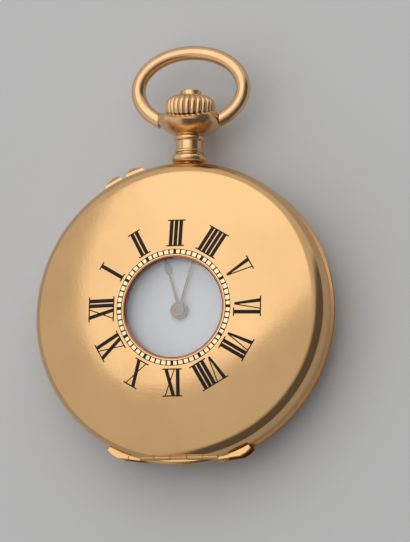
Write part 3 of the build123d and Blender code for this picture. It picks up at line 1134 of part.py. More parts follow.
# Lock spring and lift spring
def channel_spring(root_angle, tip_angle):
    middle_r = SPRING_R + SPRING_T / 2
    with BuildSketch() as strip:
        with BuildLine():
            turn = tip_angle - root_angle
            CenterArc((0, 0), middle_r + SPRING_T / 2, root_angle, turn)
            CenterArc((0, 0), middle_r - SPRING_T / 2, root_angle, turn)
            for angle in (root_angle, tip_angle):
                Line(polar(middle_r - SPRING_T / 2, angle), polar(middle_r + SPRING_T / 2, angle))
        make_face()
    plan(strip.sketch, SPRING_Z, SPRING_Z + SPRING_H)
    radial_bar(root_angle, HOOK_W * 2, SPRING_R - SPRING_T * 2, SPRING_R + SPRING_T, SPRING_Z,
               SPRING_Z + SPRING_H)
    rod(polar(SPRING_R - SPRING_T / 2, root_angle), SPRING_T * 0.4, SPRING_Z, SPRING_Z + SPRING_H,
        Mode.SUBTRACT)


with BuildPart() as lock_spring:
    channel_spring(LOCK_ROOT_ANGLE, LOCK_ANGLE)
    radial_bar(LOCK_ANGLE, HOOK_W, SPRING_R + RIM_GAP, SPRING_R + SPRING_T, SPRING_Z, NOSE_Z + NOSE_T)
    radial_bar(LOCK_ANGLE, HOOK_W, SPRING_R + RIM_GAP, SPRING_R + SPRING_T + NOSE_REACH, NOSE_Z,
               NOSE_Z + NOSE_T)
with BuildPart() as lift_spring:
    channel_spring(LIFT_ROOT_ANGLE, LIFT_ANGLE)
    radial_bar(LIFT_ANGLE, HOOK_W / 2, SPRING_R + RIM_GAP, SPRING_R + SPRING_T, SPRING_Z,
               NOSE_Z + NOSE_T)

# Plate, bridges and cocks
FOOT_POST_R = 1.3
JEWELS_IN_PLATE = [THIRD, FOURTH, ESCAPE, PALLET, BALANCE]
JEWELS_IN_BRIDGE = [CENTRE, THIRD, FOURTH, ESCAPE]
ALL_FEET = BARREL_FEET + TRAIN_FEET + COCK_FEET + PALLET_FEET
SHANK_TOP = PLATE_BOTTOM + PLATE_T * 0.6
PIVOT_HOLE_R = PIVOT_R + RUN_PLAY
with BuildPart() as mainplate:
    rod(CENTRE, MOVEMENT_R, PLATE_BOTTOM, PLATE_TOP)
    rod(CENTRE, MOVEMENT_R + FLANGE_W, FLANGE_Z, FLANGE_Z + FLANGE_T)
    rod(CENTRE, HOUR_R * 1.12, RECESS_Z, PLATE_TOP, Mode.SUBTRACT)
    rod(MINUTE_WHEEL, MINUTE_R * 1.12, RECESS_Z, PLATE_TOP, Mode.SUBTRACT)
    rod(SETTING_WHEEL, SETTING_R * 1.16, RECESS_Z, PLATE_TOP, Mode.SUBTRACT)
    half_slot = WINDING_PINION_R + WHEEL_GAP
    slab((-half_slot, STEM_IN_Y - RIM_GAP), (half_slot, PINION_Y + PINION_HALF_L + RIM_GAP),
         PLATE_BOTTOM, MID_Z + half_slot, Mode.SUBTRACT)
    stem_rod(STEM_R + RUN_PLAY, PINION_Y, OVERRUN, Mode.SUBTRACT)
    setting_pin_rod(SETTING_PIN_R + RUN_PLAY, PIN_IN_R - CLUTCH_TRAVEL, OVERRUN, Mode.SUBTRACT)
    for place in (MINUTE_WHEEL, SETTING_WHEEL):
        rod(place, STAFF_R, RECESS_Z, MOTION_Z + MOTION_T)
    rod(YOKE, STAFF_R, YOKE_Z, PLATE_BOTTOM)
    rod(CENTRE, STAFF_R + RUN_PLAY, PLATE_BOTTOM, RECESS_Z, Mode.SUBTRACT)
    rod(BARREL, ARBOR_R + RUN_PLAY, PLATE_BOTTOM, SHANK_TOP + RUN_PLAY, Mode.SUBTRACT)
    for place in JEWELS_IN_PLATE:
        rod(place, JEWEL_R, PLATE_BOTTOM, PLATE_BOTTOM + JEWEL_T + RUN_PLAY, Mode.SUBTRACT)
    for foot in DIAL_FEET:
        rod(foot, FOOT_R + RUN_PLAY, PLATE_TOP - PLATE_T / 2 - RUN_PLAY, PLATE_TOP, Mode.SUBTRACT)
    for foot in ALL_FEET:
        rod(foot, SCREW_SHANK_R, PLATE_BOTTOM, SHANK_TOP, Mode.SUBTRACT)
    for angle in CASE_SCREW_ANGLES:
        rod(polar(CASE_SCREW_AT, angle), CASE_SCREW_R / 2, FLANGE_Z, FLANGE_Z + FLANGE_T,
            Mode.SUBTRACT)
        rod(polar(CASE_SCREW_AT, angle), CASE_SCREW_R, FLANGE_Z + FLANGE_T, PLATE_TOP, Mode.SUBTRACT)


def bridge_holes(feet, jewels, z_low, z_top):
    for foot in feet:
        rod(foot, SCREW_SHANK_R, z_low, PLATE_BOTTOM, Mode.SUBTRACT)
        rod(foot, SCREW_R, z_low, z_low + SCREW_HEAD_T, Mode.SUBTRACT)
    for place in jewels:
        rod(place, JEWEL_R, z_top - JEWEL_T - RUN_PLAY, z_top, Mode.SUBTRACT)


BRIDGE_R = MOVEMENT_R - FLANGE_W
SPLIT_SHARE = 0.078
SPLIT_SLOPE = 0.35
SPLIT_GAP = 0.1
split_y = MOVEMENT_R * SPLIT_SHARE
with BuildSketch() as barrel_side:
    Polygon((-OVERRUN, split_y + SPLIT_GAP - SPLIT_SLOPE * OVERRUN), (OVERRUN, split_y + SPLIT_GAP
            + SPLIT_SLOPE * OVERRUN), (OVERRUN, OVERRUN * 2), (-OVERRUN, OVERRUN * 2), align=None)
with BuildSketch() as train_side:
    Polygon((-OVERRUN, split_y - SPLIT_GAP - SPLIT_SLOPE * OVERRUN), (-OVERRUN, -OVERRUN * 2),
            (OVERRUN, -OVERRUN * 2), (OVERRUN, split_y - SPLIT_GAP + SPLIT_SLOPE * OVERRUN), align=None)
with BuildPart() as barrel_bridge:
    with BuildSketch() as outline:
        Circle(BRIDGE_R)
        add(barrel_side.sketch, mode=Mode.INTERSECT)
    plan(outline.sketch, BRIDGE_BOTTOM, BRIDGE_TOP)
    for foot in BARREL_FEET:
        rod(foot, FOOT_POST_R, BRIDGE_TOP, PLATE_BOTTOM)
    bridge_holes(BARREL_FEET, [], BRIDGE_BOTTOM, BRIDGE_TOP)
    rod(BARREL, ARBOR_R + RUN_PLAY, BRIDGE_BOTTOM, BRIDGE_TOP, Mode.SUBTRACT)
    rod(CROWN_WHEEL, ARBOR_R, BRIDGE_TOP, RATCHET_Z + RATCHET_T)
    rod(CLICK, STAFF_R, BRIDGE_TOP, RATCHET_Z + RATCHET_T)
with BuildPart() as train_bridge:
    with BuildSketch() as outline:
        Circle(BRIDGE_R)
        add(train_side.sketch, mode=Mode.INTERSECT)
        with Locations(BALANCE):
            Circle(BALANCE_R * 1.16, mode=Mode.SUBTRACT)
        Polygon((-OVERRUN, OVERRUN), (TRAIN_FEET[1][0] - FOOT_POST_R * 1.3, OVERRUN),
                (TRAIN_FEET[1][0] - FOOT_POST_R * 1.3, -OVERRUN), (-OVERRUN, -OVERRUN), align=None,
                mode=Mode.SUBTRACT)
        bridge_end = TRAIN_FEET[1][1] - FOOT_POST_R * 1.3
        Polygon((-OVERRUN, bridge_end), (OVERRUN, bridge_end), (OVERRUN, -OVERRUN),
                (-OVERRUN, -OVERRUN), align=None, mode=Mode.SUBTRACT)
    plan(outline.sketch, BRIDGE_BOTTOM, BRIDGE_TOP)
    for foot in TRAIN_FEET:
        rod(foot, FOOT_POST_R, BRIDGE_TOP, PLATE_BOTTOM)
    bridge_holes(TRAIN_FEET, JEWELS_IN_BRIDGE, BRIDGE_BOTTOM, BRIDGE_TOP)
COCK_TOP = BRIDGE_BOTTOM + COCK_T


def cock(foot, place, post_r, z_low, z_top):
    with BuildSketch() as outline:
        with Locations(foot):
            Circle(post_r * 1.25)
        with Locations(place):
            Circle(JEWEL_R * 1.5)
        sides = [shifted(foot, post_r * 1.25, bearing(foot, place) + turn) for turn in (90, -90)]
        ends = [shifted(place, JEWEL_R * 1.5, bearing(foot, place) + turn) for turn in (-90, 90)]
        Polygon(*sides, *ends, align=None)
    plan(outline.sketch, z_low, z_top)
    rod(foot, post_r, z_top, PLATE_BOTTOM)
    bridge_holes([foot], [place], z_low, z_top)


with BuildPart() as balance_cock:
    cock(COCK_FEET[0], BALANCE, FOOT_POST_R, BRIDGE_BOTTOM, COCK_TOP)
with BuildPart() as pallet_cock:
    cock(PALLET_FEET[0], PALLET, FOOT_POST_R * 0.7, PALLET_COCK_LOW, PALLET_COCK_TOP)

# Regulator on the cock
REGULATOR_T = 0.3
REGULATOR_L = 4.4
REGULATOR_TURN = 60.0
with BuildPart() as regulator:
    with BuildSketch() as outline:
        with Locations(BALANCE):
            Circle(JEWEL_R * 1.3)
        tip = shifted(BALANCE, REGULATOR_L, REGULATOR_TURN)
        sides = [shifted(BALANCE, JEWEL_R, REGULATOR_TURN + turn) for turn in (90, -90)]
        ends = [shifted(tip, STAFF_R / 2, REGULATOR_TURN + turn) for turn in (-90, 90)]
        Polygon(*sides, *ends, align=None)
    plan(outline.sketch, BRIDGE_BOTTOM - REGULATOR_T - RUN_PLAY, BRIDGE_BOTTOM - RUN_PLAY)

# Jewels, and the screws of the bridges and of the case
with BuildPart() as jewels:
    for place in JEWELS_IN_PLATE:
        rod(place, JEWEL_R - RUN_PLAY / 2, PLATE_BOTTOM, PLATE_BOTTOM + JEWEL_T)
        rod(place, PIVOT_HOLE_R, PLATE_BOTTOM, PLATE_BOTTOM + JEWEL_T, Mode.SUBTRACT)
    for place, z_top in ([(p, BRIDGE_TOP) for p in JEWELS_IN_BRIDGE]
                         + [(BALANCE, COCK_TOP), (PALLET, PALLET_COCK_TOP)]):
        rod(place, JEWEL_R - RUN_PLAY / 2, z_top - JEWEL_T, z_top)
        rod(place, PIVOT_HOLE_R, z_top - JEWEL_T, z_top, Mode.SUBTRACT)


def screw(place, head_r, shank_r, z_low, head_t, z_top):
    rod(place, head_r - RUN_PLAY, z_low, z_low + head_t)
    rod(place, shank_r - RUN_PLAY / 2, z_low + head_t, z_top)
    slab((place[0] - head_r, place[1] - shank_r / 3), (place[0] + head_r, place[1] + shank_r / 3),
         z_low, z_low + head_t / 2, Mode.SUBTRACT)


with BuildPart() as bridge_screws:
    for foot in BARREL_FEET + TRAIN_FEET + COCK_FEET:
        screw(foot, SCREW_R, SCREW_SHANK_R, BRIDGE_BOTTOM, SCREW_HEAD_T, SHANK_TOP)
with BuildPart() as pallet_cock_screw:
    screw(PALLET_FEET[0], SCREW_R, SCREW_SHANK_R, PALLET_COCK_LOW, SCREW_HEAD_T / 2, SHANK_TOP)
with BuildPart() as case_screws:
    for angle in CASE_SCREW_ANGLES:
        place = polar(CASE_SCREW_AT, angle)
        rod(place, CASE_SCREW_R - RUN_PLAY, FLANGE_Z + FLANGE_T, FLANGE_Z + FLANGE_T * 1.8)
        rod(place, CASE_SCREW_R / 2 - RUN_PLAY / 2, LEDGE_Z + RIM_GAP, FLANGE_Z + FLANGE_T)

# Every piece is written under its own name
PIECES = {
    "case_middle": case_middle, "front_cover": front_cover, "lid_numerals": lid_numerals,
    "lid_minute_track": lid_minute_track, "window_ring": window_ring,
    "window_glass": window_glass, "back_cover": back_cover, "cuvette": cuvette,
    "front_hinge_pin": front_hinge_pin, "back_hinge_pin": back_hinge_pin,
    "cuvette_hinge_pin": cuvette_hinge_pin, "setting_pin_guard": setting_pin_guard,
    "setting_pin": setting_pin, "lock_spring": lock_spring, "lift_spring": lift_spring,
    "pendant": pendant, "bow": bow, "crown": crown, "bezel": bezel, "crystal": crystal,
    "dial": dial, "dial_ring": dial_ring, "hour_hand": hour_hand, "minute_hand": minute_hand,
    "cannon_pinion": cannon_pinion, "minute_wheel": minute_wheel, "hour_wheel": hour_wheel,
    "setting_wheel": setting_wheel, "mainplate": mainplate, "barrel_bridge": barrel_bridge,
    "train_bridge": train_bridge, "balance_cock": balance_cock, "pallet_cock": pallet_cock,
    "barrel": barrel, "mainspring": mainspring, "barrel_arbor": barrel_arbor,
    "ratchet_wheel": ratchet_wheel, "crown_wheel": crown_wheel, "click": click,
    "click_spring": click_spring, "centre_wheel": centre_wheel, "third_wheel": third_wheel,
    "fourth_wheel": fourth_wheel, "escape_wheel": escape_wheel, "pallet_fork": pallet_fork,
    "balance": balance, "balance_spring": balance_spring, "regulator": regulator,
    "winding_stem": winding_stem, "winding_pinion": winding_pinion, "clutch": clutch,
    "yoke": yoke, "jewels": jewels, "bridge_screws": bridge_screws,
    "pallet_cock_screw": pallet_cock_screw, "case_screws": case_screws,
}
os.makedirs("parts", exist_ok=True)
for name, piece in PIECES.items():
    piece.part.label = name
    export_step(piece.part, f"parts/{name}.step")
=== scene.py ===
import json
import math

import bmesh
import bpy
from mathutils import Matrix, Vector


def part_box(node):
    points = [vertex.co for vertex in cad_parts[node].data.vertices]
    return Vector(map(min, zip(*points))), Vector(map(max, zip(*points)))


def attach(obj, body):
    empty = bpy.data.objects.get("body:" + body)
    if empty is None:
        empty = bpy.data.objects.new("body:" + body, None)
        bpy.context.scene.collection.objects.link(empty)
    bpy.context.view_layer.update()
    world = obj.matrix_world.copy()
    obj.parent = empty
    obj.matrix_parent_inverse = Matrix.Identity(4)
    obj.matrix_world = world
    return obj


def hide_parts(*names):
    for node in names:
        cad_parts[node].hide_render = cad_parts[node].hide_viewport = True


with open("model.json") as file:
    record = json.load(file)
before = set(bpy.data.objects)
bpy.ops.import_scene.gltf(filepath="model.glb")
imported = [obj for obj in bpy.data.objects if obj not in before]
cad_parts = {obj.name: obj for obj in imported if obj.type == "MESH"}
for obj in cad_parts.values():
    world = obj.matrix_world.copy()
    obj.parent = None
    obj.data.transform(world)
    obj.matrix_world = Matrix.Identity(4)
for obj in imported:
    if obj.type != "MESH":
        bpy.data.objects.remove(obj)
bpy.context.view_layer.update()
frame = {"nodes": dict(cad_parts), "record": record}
MM = 0.001
SEGMENTS = 240
SHARP_DEG = 32
MERGE_M = 1e-7


class Nodes:
    """A material's node tree with short calls for the nodes used here."""

    def __init__(self, name):
        self.mat = bpy.data.materials.new(name)
        self.mat.use_nodes = True
        self.tree = self.mat.node_tree
        self.shader = self.tree.nodes["Principled BSDF"]
        self.where = self.add("ShaderNodeTexCoord").outputs["Object"]

    def add(self, kind, **values):
        node = self.tree.nodes.new(kind)
        for key, value in values.items():
            setattr(node, key, value)
        return node

    def join(self, out, into):
        self.tree.links.new(out, into)

    def noise(self, scale, detail, stretch=(1, 1, 1)):
        lay = self.add("ShaderNodeMapping")
        lay.inputs["Scale"].default_value = stretch
        self.join(self.where, lay.inputs["Vector"])
        node = self.add("ShaderNodeTexNoise")
        node.inputs["Scale"].default_value = scale
        node.inputs["Detail"].default_value = detail
        self.join(lay.outputs[0], node.inputs["Vector"])
        return node.outputs["Fac"]

    def spread(self, value, low, high, first=0.3, last=0.7):
        """The middle of a noise's range, or first to last, stretched from low to high."""
        node = self.add("ShaderNodeMapRange")
        for key, number in (("From Min", first), ("From Max", last), ("To Min", low),
                            ("To Max", high)):
            node.inputs[key].default_value = number
        self.join(value, node.inputs["Value"])
        return node.outputs["Result"]

    def reckon(self, a, b, way="ADD"):
        node = self.add("ShaderNodeMath", operation=way)
        for socket, value in zip(node.inputs, (a, b)):
            if isinstance(value, (int, float)):
                socket.default_value = value
            else:
                self.join(value, socket)
        return node.outputs[0]

    def tint(self, value, low, high):
        node = self.add("ShaderNodeMix", data_type="RGBA")
        self.join(value, node.inputs[0])
        node.inputs[6].default_value = (*low, 1)
        node.inputs[7].default_value = (*high, 1)
        return node.outputs[2]

    def bump(self, height, depth):
        node = self.add("ShaderNodeBump")
        node.inputs["Strength"].default_value = 1.0
        node.inputs["Distance"].default_value = depth
        self.join(height, node.inputs["Height"])
        self.join(node.outputs[0], self.shader.inputs["Normal"])

    def set(self, **values):
        for key, value in values.items():
            self.shader.inputs[key.replace("_", " ")].default_value = value


# Noise scales are in cycles a metre, bump depths in metres
SCRATCH_SCALE, SCRATCH_STRETCH, SCRATCH_FROM, SCRATCH_TO = 420, 14, 0.27, 0.4
SCRATCH_DEPTH, SCRATCH_ROUGH, POLISH_SCALE = 0.35, 0.021, 190


def metal(name, low, high, rough, cloud=70, grain=2600, depth=4e-6):
    """Polished metal: cloudy tone, uneven polish and hairline scratches both ways."""
    n = Nodes(name)
    n.set(Metallic=1.0)
    n.join(n.tint(n.spread(n.noise(cloud, 4), 0, 1), low, high), n.shader.inputs["Base Color"])
    fine = n.noise(grain, 2)
    along = n.noise(SCRATCH_SCALE, 2, (1, SCRATCH_STRETCH, SCRATCH_STRETCH))
    across = n.noise(SCRATCH_SCALE, 2, (SCRATCH_STRETCH, 1, SCRATCH_STRETCH))
    lines = n.spread(n.reckon(along, across, "MULTIPLY"), 0, 1, SCRATCH_FROM, SCRATCH_TO)
    uneven = n.spread(n.noise(POLISH_SCALE, 3), *rough)
    polish = n.reckon(uneven, n.reckon(lines, SCRATCH_ROUGH, "MULTIPLY"))
    n.join(polish, n.shader.inputs["Roughness"])
    n.bump(n.reckon(fine, n.reckon(lines, SCRATCH_DEPTH, "MULTIPLY")), depth)
    return n.mat


GLAZE_CLOUD, GLAZE_PATCH, GLAZE_RIPPLE = 110, 600, 500
GLAZE_ROUGH, GLAZE_IOR = 0.04, 1.8


def enamel(name, low, high, rough, depth, coat, gloss):
    """Fired enamel: nearly even colour under a smooth, faintly rippled glaze."""
    n = Nodes(name)
    n.set(Coat_Weight=coat, Coat_Roughness=GLAZE_ROUGH, Coat_IOR=GLAZE_IOR,
          Specular_IOR_Level=gloss)
    cloud = n.spread(n.noise(GLAZE_CLOUD, 4), 0, 1)
    n.join(n.tint(cloud, low, high), n.shader.inputs["Base Color"])
    n.join(n.spread(n.noise(GLAZE_PATCH, 2), *rough), n.shader.inputs["Roughness"])
    n.bump(n.noise(GLAZE_RIPPLE, 2), depth)
    return n.mat


GLASS_LOW, GLASS_HIGH, GLASS_POLISH = (0.93, 0.96, 1.0), (0.98, 0.99, 1.0), (0.01, 0.05)
GLASS_CLOUD, GLASS_PATCH, GLASS_RIPPLE, GLASS_DEPTH = 60, 260, 160, 2e-6


def watch_glass(name, returned):
    """Clear glass as a faint mirror: each face returns a few percent and lets the rest by."""
    n = Nodes(name)
    n.set(Metallic=1.0, Alpha=returned)
    n.join(n.tint(n.noise(GLASS_CLOUD, 2), GLASS_LOW, GLASS_HIGH), n.shader.inputs["Base Color"])
    n.join(n.spread(n.noise(GLASS_PATCH, 3), *GLASS_POLISH), n.shader.inputs["Roughness"])
    n.bump(n.noise(GLASS_RIPPLE, 2), GLASS_DEPTH)
    return n.mat


GOLD = metal("gold", (0.665, 0.405, 0.185), (0.73, 0.455, 0.215), (0.1, 0.17))
CASE_GOLD = metal("gold_band", (0.64, 0.385, 0.165), (0.72, 0.45, 0.205), (0.16, 0.27))
ROSE = metal("pendant_gold", (0.70, 0.44, 0.225), (0.78, 0.51, 0.275), (0.13, 0.24), cloud=240)
COPPER = metal("ring_gold", (0.55, 0.20, 0.13), (0.66, 0.27, 0.17), (0.1, 0.16), cloud=300)
# The minute track's paler gold is a painted highlight of its bright-cut finish, not a different
# alloy
PAINTED_HIGHLIGHT_TRACK = metal("track_gold_painted_highlight", (0.85, 0.62, 0.34), (0.92, 0.70, 0.42), (0.2, 0.3), cloud=900)
HAND = metal("hand_gold", (0.29, 0.185, 0.135), (0.37, 0.245, 0.185), (0.28, 0.4), cloud=400)
GILT = metal("gilt_brass", (0.70, 0.52, 0.24), (0.80, 0.62, 0.31), (0.28, 0.42),
             cloud=160, grain=5200, depth=8e-6)
STEEL = metal("steel", (0.50, 0.51, 0.53), (0.62, 0.63, 0.65), (0.14, 0.26), cloud=200)
BLACK = enamel("black_enamel", (0.012, 0.009, 0.007), (0.02, 0.016, 0.012), (0.35, 0.5),
               depth=6e-6, coat=0.0, gloss=0.15)
WHITE = enamel("white_enamel", (0.96, 0.97, 0.98), (0.975, 0.985, 0.99), (0.12, 0.2),
               depth=4e-6, coat=0.0, gloss=1.0)
RUBY = enamel("ruby", (0.38, 0.01, 0.05), (0.55, 0.03, 0.10), (0.05, 0.1),
              depth=2e-6, coat=0.5, gloss=0.5)
GLASS = watch_glass("clear_glass", 0.05)

BY_SLOT = {"gold": GOLD, "pendant_gold": ROSE, "black_enamel": BLACK, "white_enamel": WHITE,
           "clear_glass": GLASS, "hand_gold": HAND, "gilt_brass": GILT, "steel": STEEL,
           "ruby": RUBY, "ring_gold": COPPER}
for part in frame["record"]["subparts"]:
    node = frame["nodes"][part["node"]]
    node.data.materials.clear()
    node.data.materials.append(BY_SLOT[part["material_slot"]])
frame["nodes"]["case_middle"].data.materials[0] = CASE_GOLD


# Mesh helpers, all sizes in millimetres
def arc(x, y, radius, start, end, steps):
    """Points of a circular arc, angles in degrees."""
    return [(x + radius * math.cos(math.radians(start + (end - start) * k / steps)),
             y + radius * math.sin(math.radians(start + (end - start) * k / steps)))
            for k in range(steps + 1)]


def lathe(points, closed=True, segments=SEGMENTS):
    """Turns (radius, height) points about Z."""
    verts, faces, count = [], [], len(points)
    for i in range(segments):
        a = 2 * math.pi * i / segments
        verts += [(r * math.cos(a), r * math.sin(a), z) for r, z in points]
        j = (i + 1) % segments
        for k in range(count if closed else count - 1):
            m = (k + 1) % count
            faces.append((i * count + k, j * count + k, j * count + m, i * count + m))
    return verts, faces


def tube(path, radius, sides):
    """A round tube along points of a plane z = const, its ends capped."""
    verts, faces = [], []
    for k, (x, y, z) in enumerate(path):
        before, after = Vector(path[max(k - 1, 0)]), Vector(path[min(k + 1, len(path) - 1)])
        side = (after - before).normalized().cross(Vector((0, 0, 1)))
        for i in range(sides):
            a = 2 * math.pi * i / sides
            p = Vector((x, y, z)) + radius * (side * math.cos(a) + Vector((0, 0, math.sin(a))))
            verts.append(tuple(p))
    for k in range(len(path) - 1):
        for i in range(sides):
            j = (i + 1) % sides
            faces.append((k * sides + i, k * sides + j, (k + 1) * sides + j, (k + 1) * sides + i))
    faces.append(tuple(range(sides)))
    faces.append(tuple(reversed(range(len(verts) - sides, len(verts)))))
    return verts, faces


def joined(*meshes):
    """One mesh of several, none of their points merged."""
    verts, faces = [], []
    for some, more in meshes:
        faces += [tuple(i + len(verts) for i in face) for face in more]
        verts += some
    return verts, faces


def along_y(mesh, middle):
    """A mesh turned about Z laid along Y, its axis at height middle."""
    return [(x, z, middle - y) for x, y, z in mesh[0]], mesh[1]


def shade(data, sharp_deg):
    data.shade_smooth()
    data.set_sharp_from_angle(angle=math.radians(sharp_deg))


def piece(name, mesh, material, body, stands_for=(), sharp_deg=SHARP_DEG, cuts=()):
    data = bpy.data.meshes.new(name)
    data.from_pydata([Vector(v) * MM for v in mesh[0]], [], mesh[1])
    bm = bmesh.new()
    bm.from_mesh(data)
    bmesh.ops.remove_doubles(bm, verts=bm.verts, dist=MERGE_M)
    for point, normal in cuts:
        cut = bmesh.ops.bisect_plane(bm, geom=bm.verts[:] + bm.edges[:] + bm.faces[:], dist=1e-8,
                                     plane_co=Vector(point) * MM, plane_no=normal,
                                     clear_outer=True)
        edges = [e for e in cut["geom_cut"] if isinstance(e, bmesh.types.BMEdge)]
        bmesh.ops.holes_fill(bm, edges=edges, sides=0)
    bmesh.ops.recalc_face_normals(bm, faces=bm.faces)
    bm.to_mesh(data)
    bm.free()
    shade(data, sharp_deg)
    data.materials.append(material)
    obj = bpy.data.objects.new(name, data)
    bpy.context.collection.objects.link(obj)
    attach(obj, body)
    if stands_for:
        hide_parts(*stands_for)
    return obj


def dome(rim_r, height, roll_r, flat_r, inset=0.0, hole=0.0, steps=44, turns=22):
    """(radius, height) points of a cover from its hole or axis to its rim, rim at height 0."""
    reach = rim_r - roll_r - flat_r
    big = (reach**2 + height**2 - roll_r**2) / (2 * (height - roll_r))
    tilt = math.asin(reach / (big - roll_r))
    start = math.asin(hole / (big - inset)) if hole else 0.0
    top = []
    for k in range(steps + 1):
        a = start + (tilt - start) * k / steps
        top.append((flat_r + (big - inset) * math.sin(a),
                    height - big + (big - inset) * math.cos(a)))
    low = math.degrees(tilt)
    roll = arc(rim_r - roll_r, 0, roll_r - inset, 90 - low, 0, turns)
    return top + roll[1:]


# Covers. The lid and the back are both domes cut straight at the hinge
CASE_R, RIM_Z, BACK_Z, MID_Z, WALL = 25.0, 8.0, 5.0, 6.5, 0.5
LID_H, LID_ROLL, BACK_H, BACK_ROLL, REST_R = 5.92, 3.0, 5.0, 2.6, 12.0
CHORD_Y, HINGE_Y, KNUCKLE_R = 23.84, 23.95, 0.42
KNUCKLES = ((1.45, 4.15), (-4.15, -1.45))
WINDOW_R, WINDOW_EDGE = 8.2, 8.6
SKIN_GAP = 0.012
RIM_EDGE, RIM_STEP = 0.1, 0.08
WALL_SKIN, WALL_SHORT, WALL_FOOT, WALL_LEAST, WALL_STEPS = 0.01, 0.12, 0.06, 0.07, 48


def rod_x(radius, x0, x1, y, z, steps=32, soft=0.05):
    """A rod along X with softened ends."""
    verts, faces = lathe([(0, x0), (radius - soft, x0), (radius, x0 + soft), (radius, x1 - soft),
                          (radius - soft, x1), (0, x1)], closed=False, segments=steps)
    return [(h, y + a, z + b) for a, b, h in verts], faces


def chord_wall(height_at, z_rim, way):
    """The flat wall of a cover over its hinge, from the rim plane up to the dome."""
    half = math.sqrt(CASE_R**2 - CHORD_Y**2) - WALL_SHORT
    verts, faces = [], []
    for k in range(WALL_STEPS + 1):
        x = -half + 2 * half * k / WALL_STEPS
        top = height_at(math.hypot(x, CHORD_Y)) - SKIN_GAP
        for y in (-CHORD_Y - WALL_SKIN, -CHORD_Y + WALL):
            verts += [(x, y, z_rim + way * WALL_FOOT), (x, y, z_rim + way * max(top, WALL_LEAST))]
    for k in range(WALL_STEPS):
        a, b = 4 * k, 4 * k + 4
        faces += [(a, a + 1, b + 1, b), (a + 2, b + 2, b + 3, a + 3), (a, b, b + 2, a + 2),
                  (a + 1, a + 3, b + 3, b + 1)]
    last = 4 * WALL_STEPS
    faces += [(0, 2, 3, 1), (last, last + 1, last + 3, last + 2)]
    return verts, faces


def height_on(points):
    """Height over a radius on the line of dome points."""
    def height_at(radius):
        for (r0, z0), (r1, z1) in zip(points, points[1:]):
            if r0 <= radius <= r1:
                return z0 + (z1 - z0) * (radius - r0) / max(r1 - r0, 1e-9)
        return 0.0
    return height_at


def cover(name, height, roll, flat, z_rim, way, hole, node):
    """A cover's shell, its hinge wall and its knuckles as one piece on the node's own body."""
    outer = dome(CASE_R, height, roll, flat, SKIN_GAP, hole)
    inner = dome(CASE_R, height, roll, flat, WALL, hole)
    if flat:
        outer, inner = [(0, height - SKIN_GAP)] + outer, [(0, height - WALL)] + inner
    rim = [(CASE_R - SKIN_GAP, RIM_EDGE), (CASE_R - RIM_EDGE, 0.0),
           (CASE_R - WALL + RIM_STEP, 0.0)]
    line = outer[:-1] + rim + inner[::-1]
    shell = lathe([(r, z_rim + way * z) for r, z in line], closed=bool(hole))
    obj = piece(name, shell, GOLD, node, (node,), cuts=[((0, -CHORD_Y, 0), (0, -1, 0))])
    bm = bmesh.new()
    bm.from_mesh(obj.data)
    more = [chord_wall(height_on(outer), z_rim, way)]
    more += [rod_x(KNUCKLE_R, min(k), max(k), -HINGE_Y, z_rim) for k in KNUCKLES]
    verts, faces = joined(*more)
    base = [bm.verts.new(Vector(v) * MM) for v in verts]
    for face in faces:
        if len(set(face)) > 2:
            bm.faces.new([base[i] for i in face])
    bmesh.ops.remove_doubles(bm, verts=base, dist=MERGE_M)
    bmesh.ops.recalc_face_normals(bm, faces=bm.faces)
    bm.to_mesh(obj.data)
    bm.free()
    shade(obj.data, SHARP_DEG)


cover("lid", LID_H, LID_ROLL, 0, RIM_Z, 1, WINDOW_EDGE, "front_cover")
cover("back", BACK_H, BACK_ROLL, REST_R, BACK_Z, -1, 0, "back_cover")

# Gold band under the black bars of the minute track; its pale colour is a painted highlight of the
# bright-cut track
BAND_IN_R, BAND_OUT_R, BAND_INSET, BAND_T, BAND_STEPS = 8.76, 9.74, 0.006, 0.05, 12
dome_r = ((CASE_R - LID_ROLL)**2 + LID_H**2 - LID_ROLL**2) / (2 * (LID_H - LID_ROLL))
track = [(r, RIM_Z + LID_H - dome_r + math.sqrt((dome_r - BAND_INSET)**2 - r * r))
         for r in [BAND_IN_R + (BAND_OUT_R - BAND_IN_R) * k / BAND_STEPS
                   for k in range(BAND_STEPS + 1)]]
track += [(r, z - BAND_T) for r, z in reversed(track)]
piece("track_band", lathe(track), PAINTED_HIGHLIGHT_TRACK, "front_cover")

# Polished ring of the window, rolled over the lid's edge
LIP_R, LIP_DROP, MOUTH_R, MOUTH_DROP = 0.13, 0.1, 0.1, 0.3
SEAT_W, SEAT_H, BORE_LOW, NECK_IN, NECK_LOW = 0.2, 0.3, 0.42, 0.05, 0.36
ring_low, ring_high = [v[2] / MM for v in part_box("window_ring")]
foot_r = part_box("window_ring")[1][0] / MM
ring = arc(WINDOW_EDGE - LIP_R, ring_high - LIP_DROP, LIP_R, 5, 110, 8)
ring += arc(WINDOW_R + MOUTH_R, ring_high - MOUTH_DROP, MOUTH_R, 110, 180, 6)
ring += [(WINDOW_R, ring_low + BORE_LOW), (WINDOW_R + SEAT_W, ring_low + SEAT_H),
         (WINDOW_R + SEAT_W, ring_low), (foot_r, ring_low), (foot_r, ring_low + SEAT_H),
         (WINDOW_EDGE - NECK_IN, ring_low + NECK_LOW)]
piece("window_bezel", lathe(ring), COPPER, "front_cover", ("window_ring",))

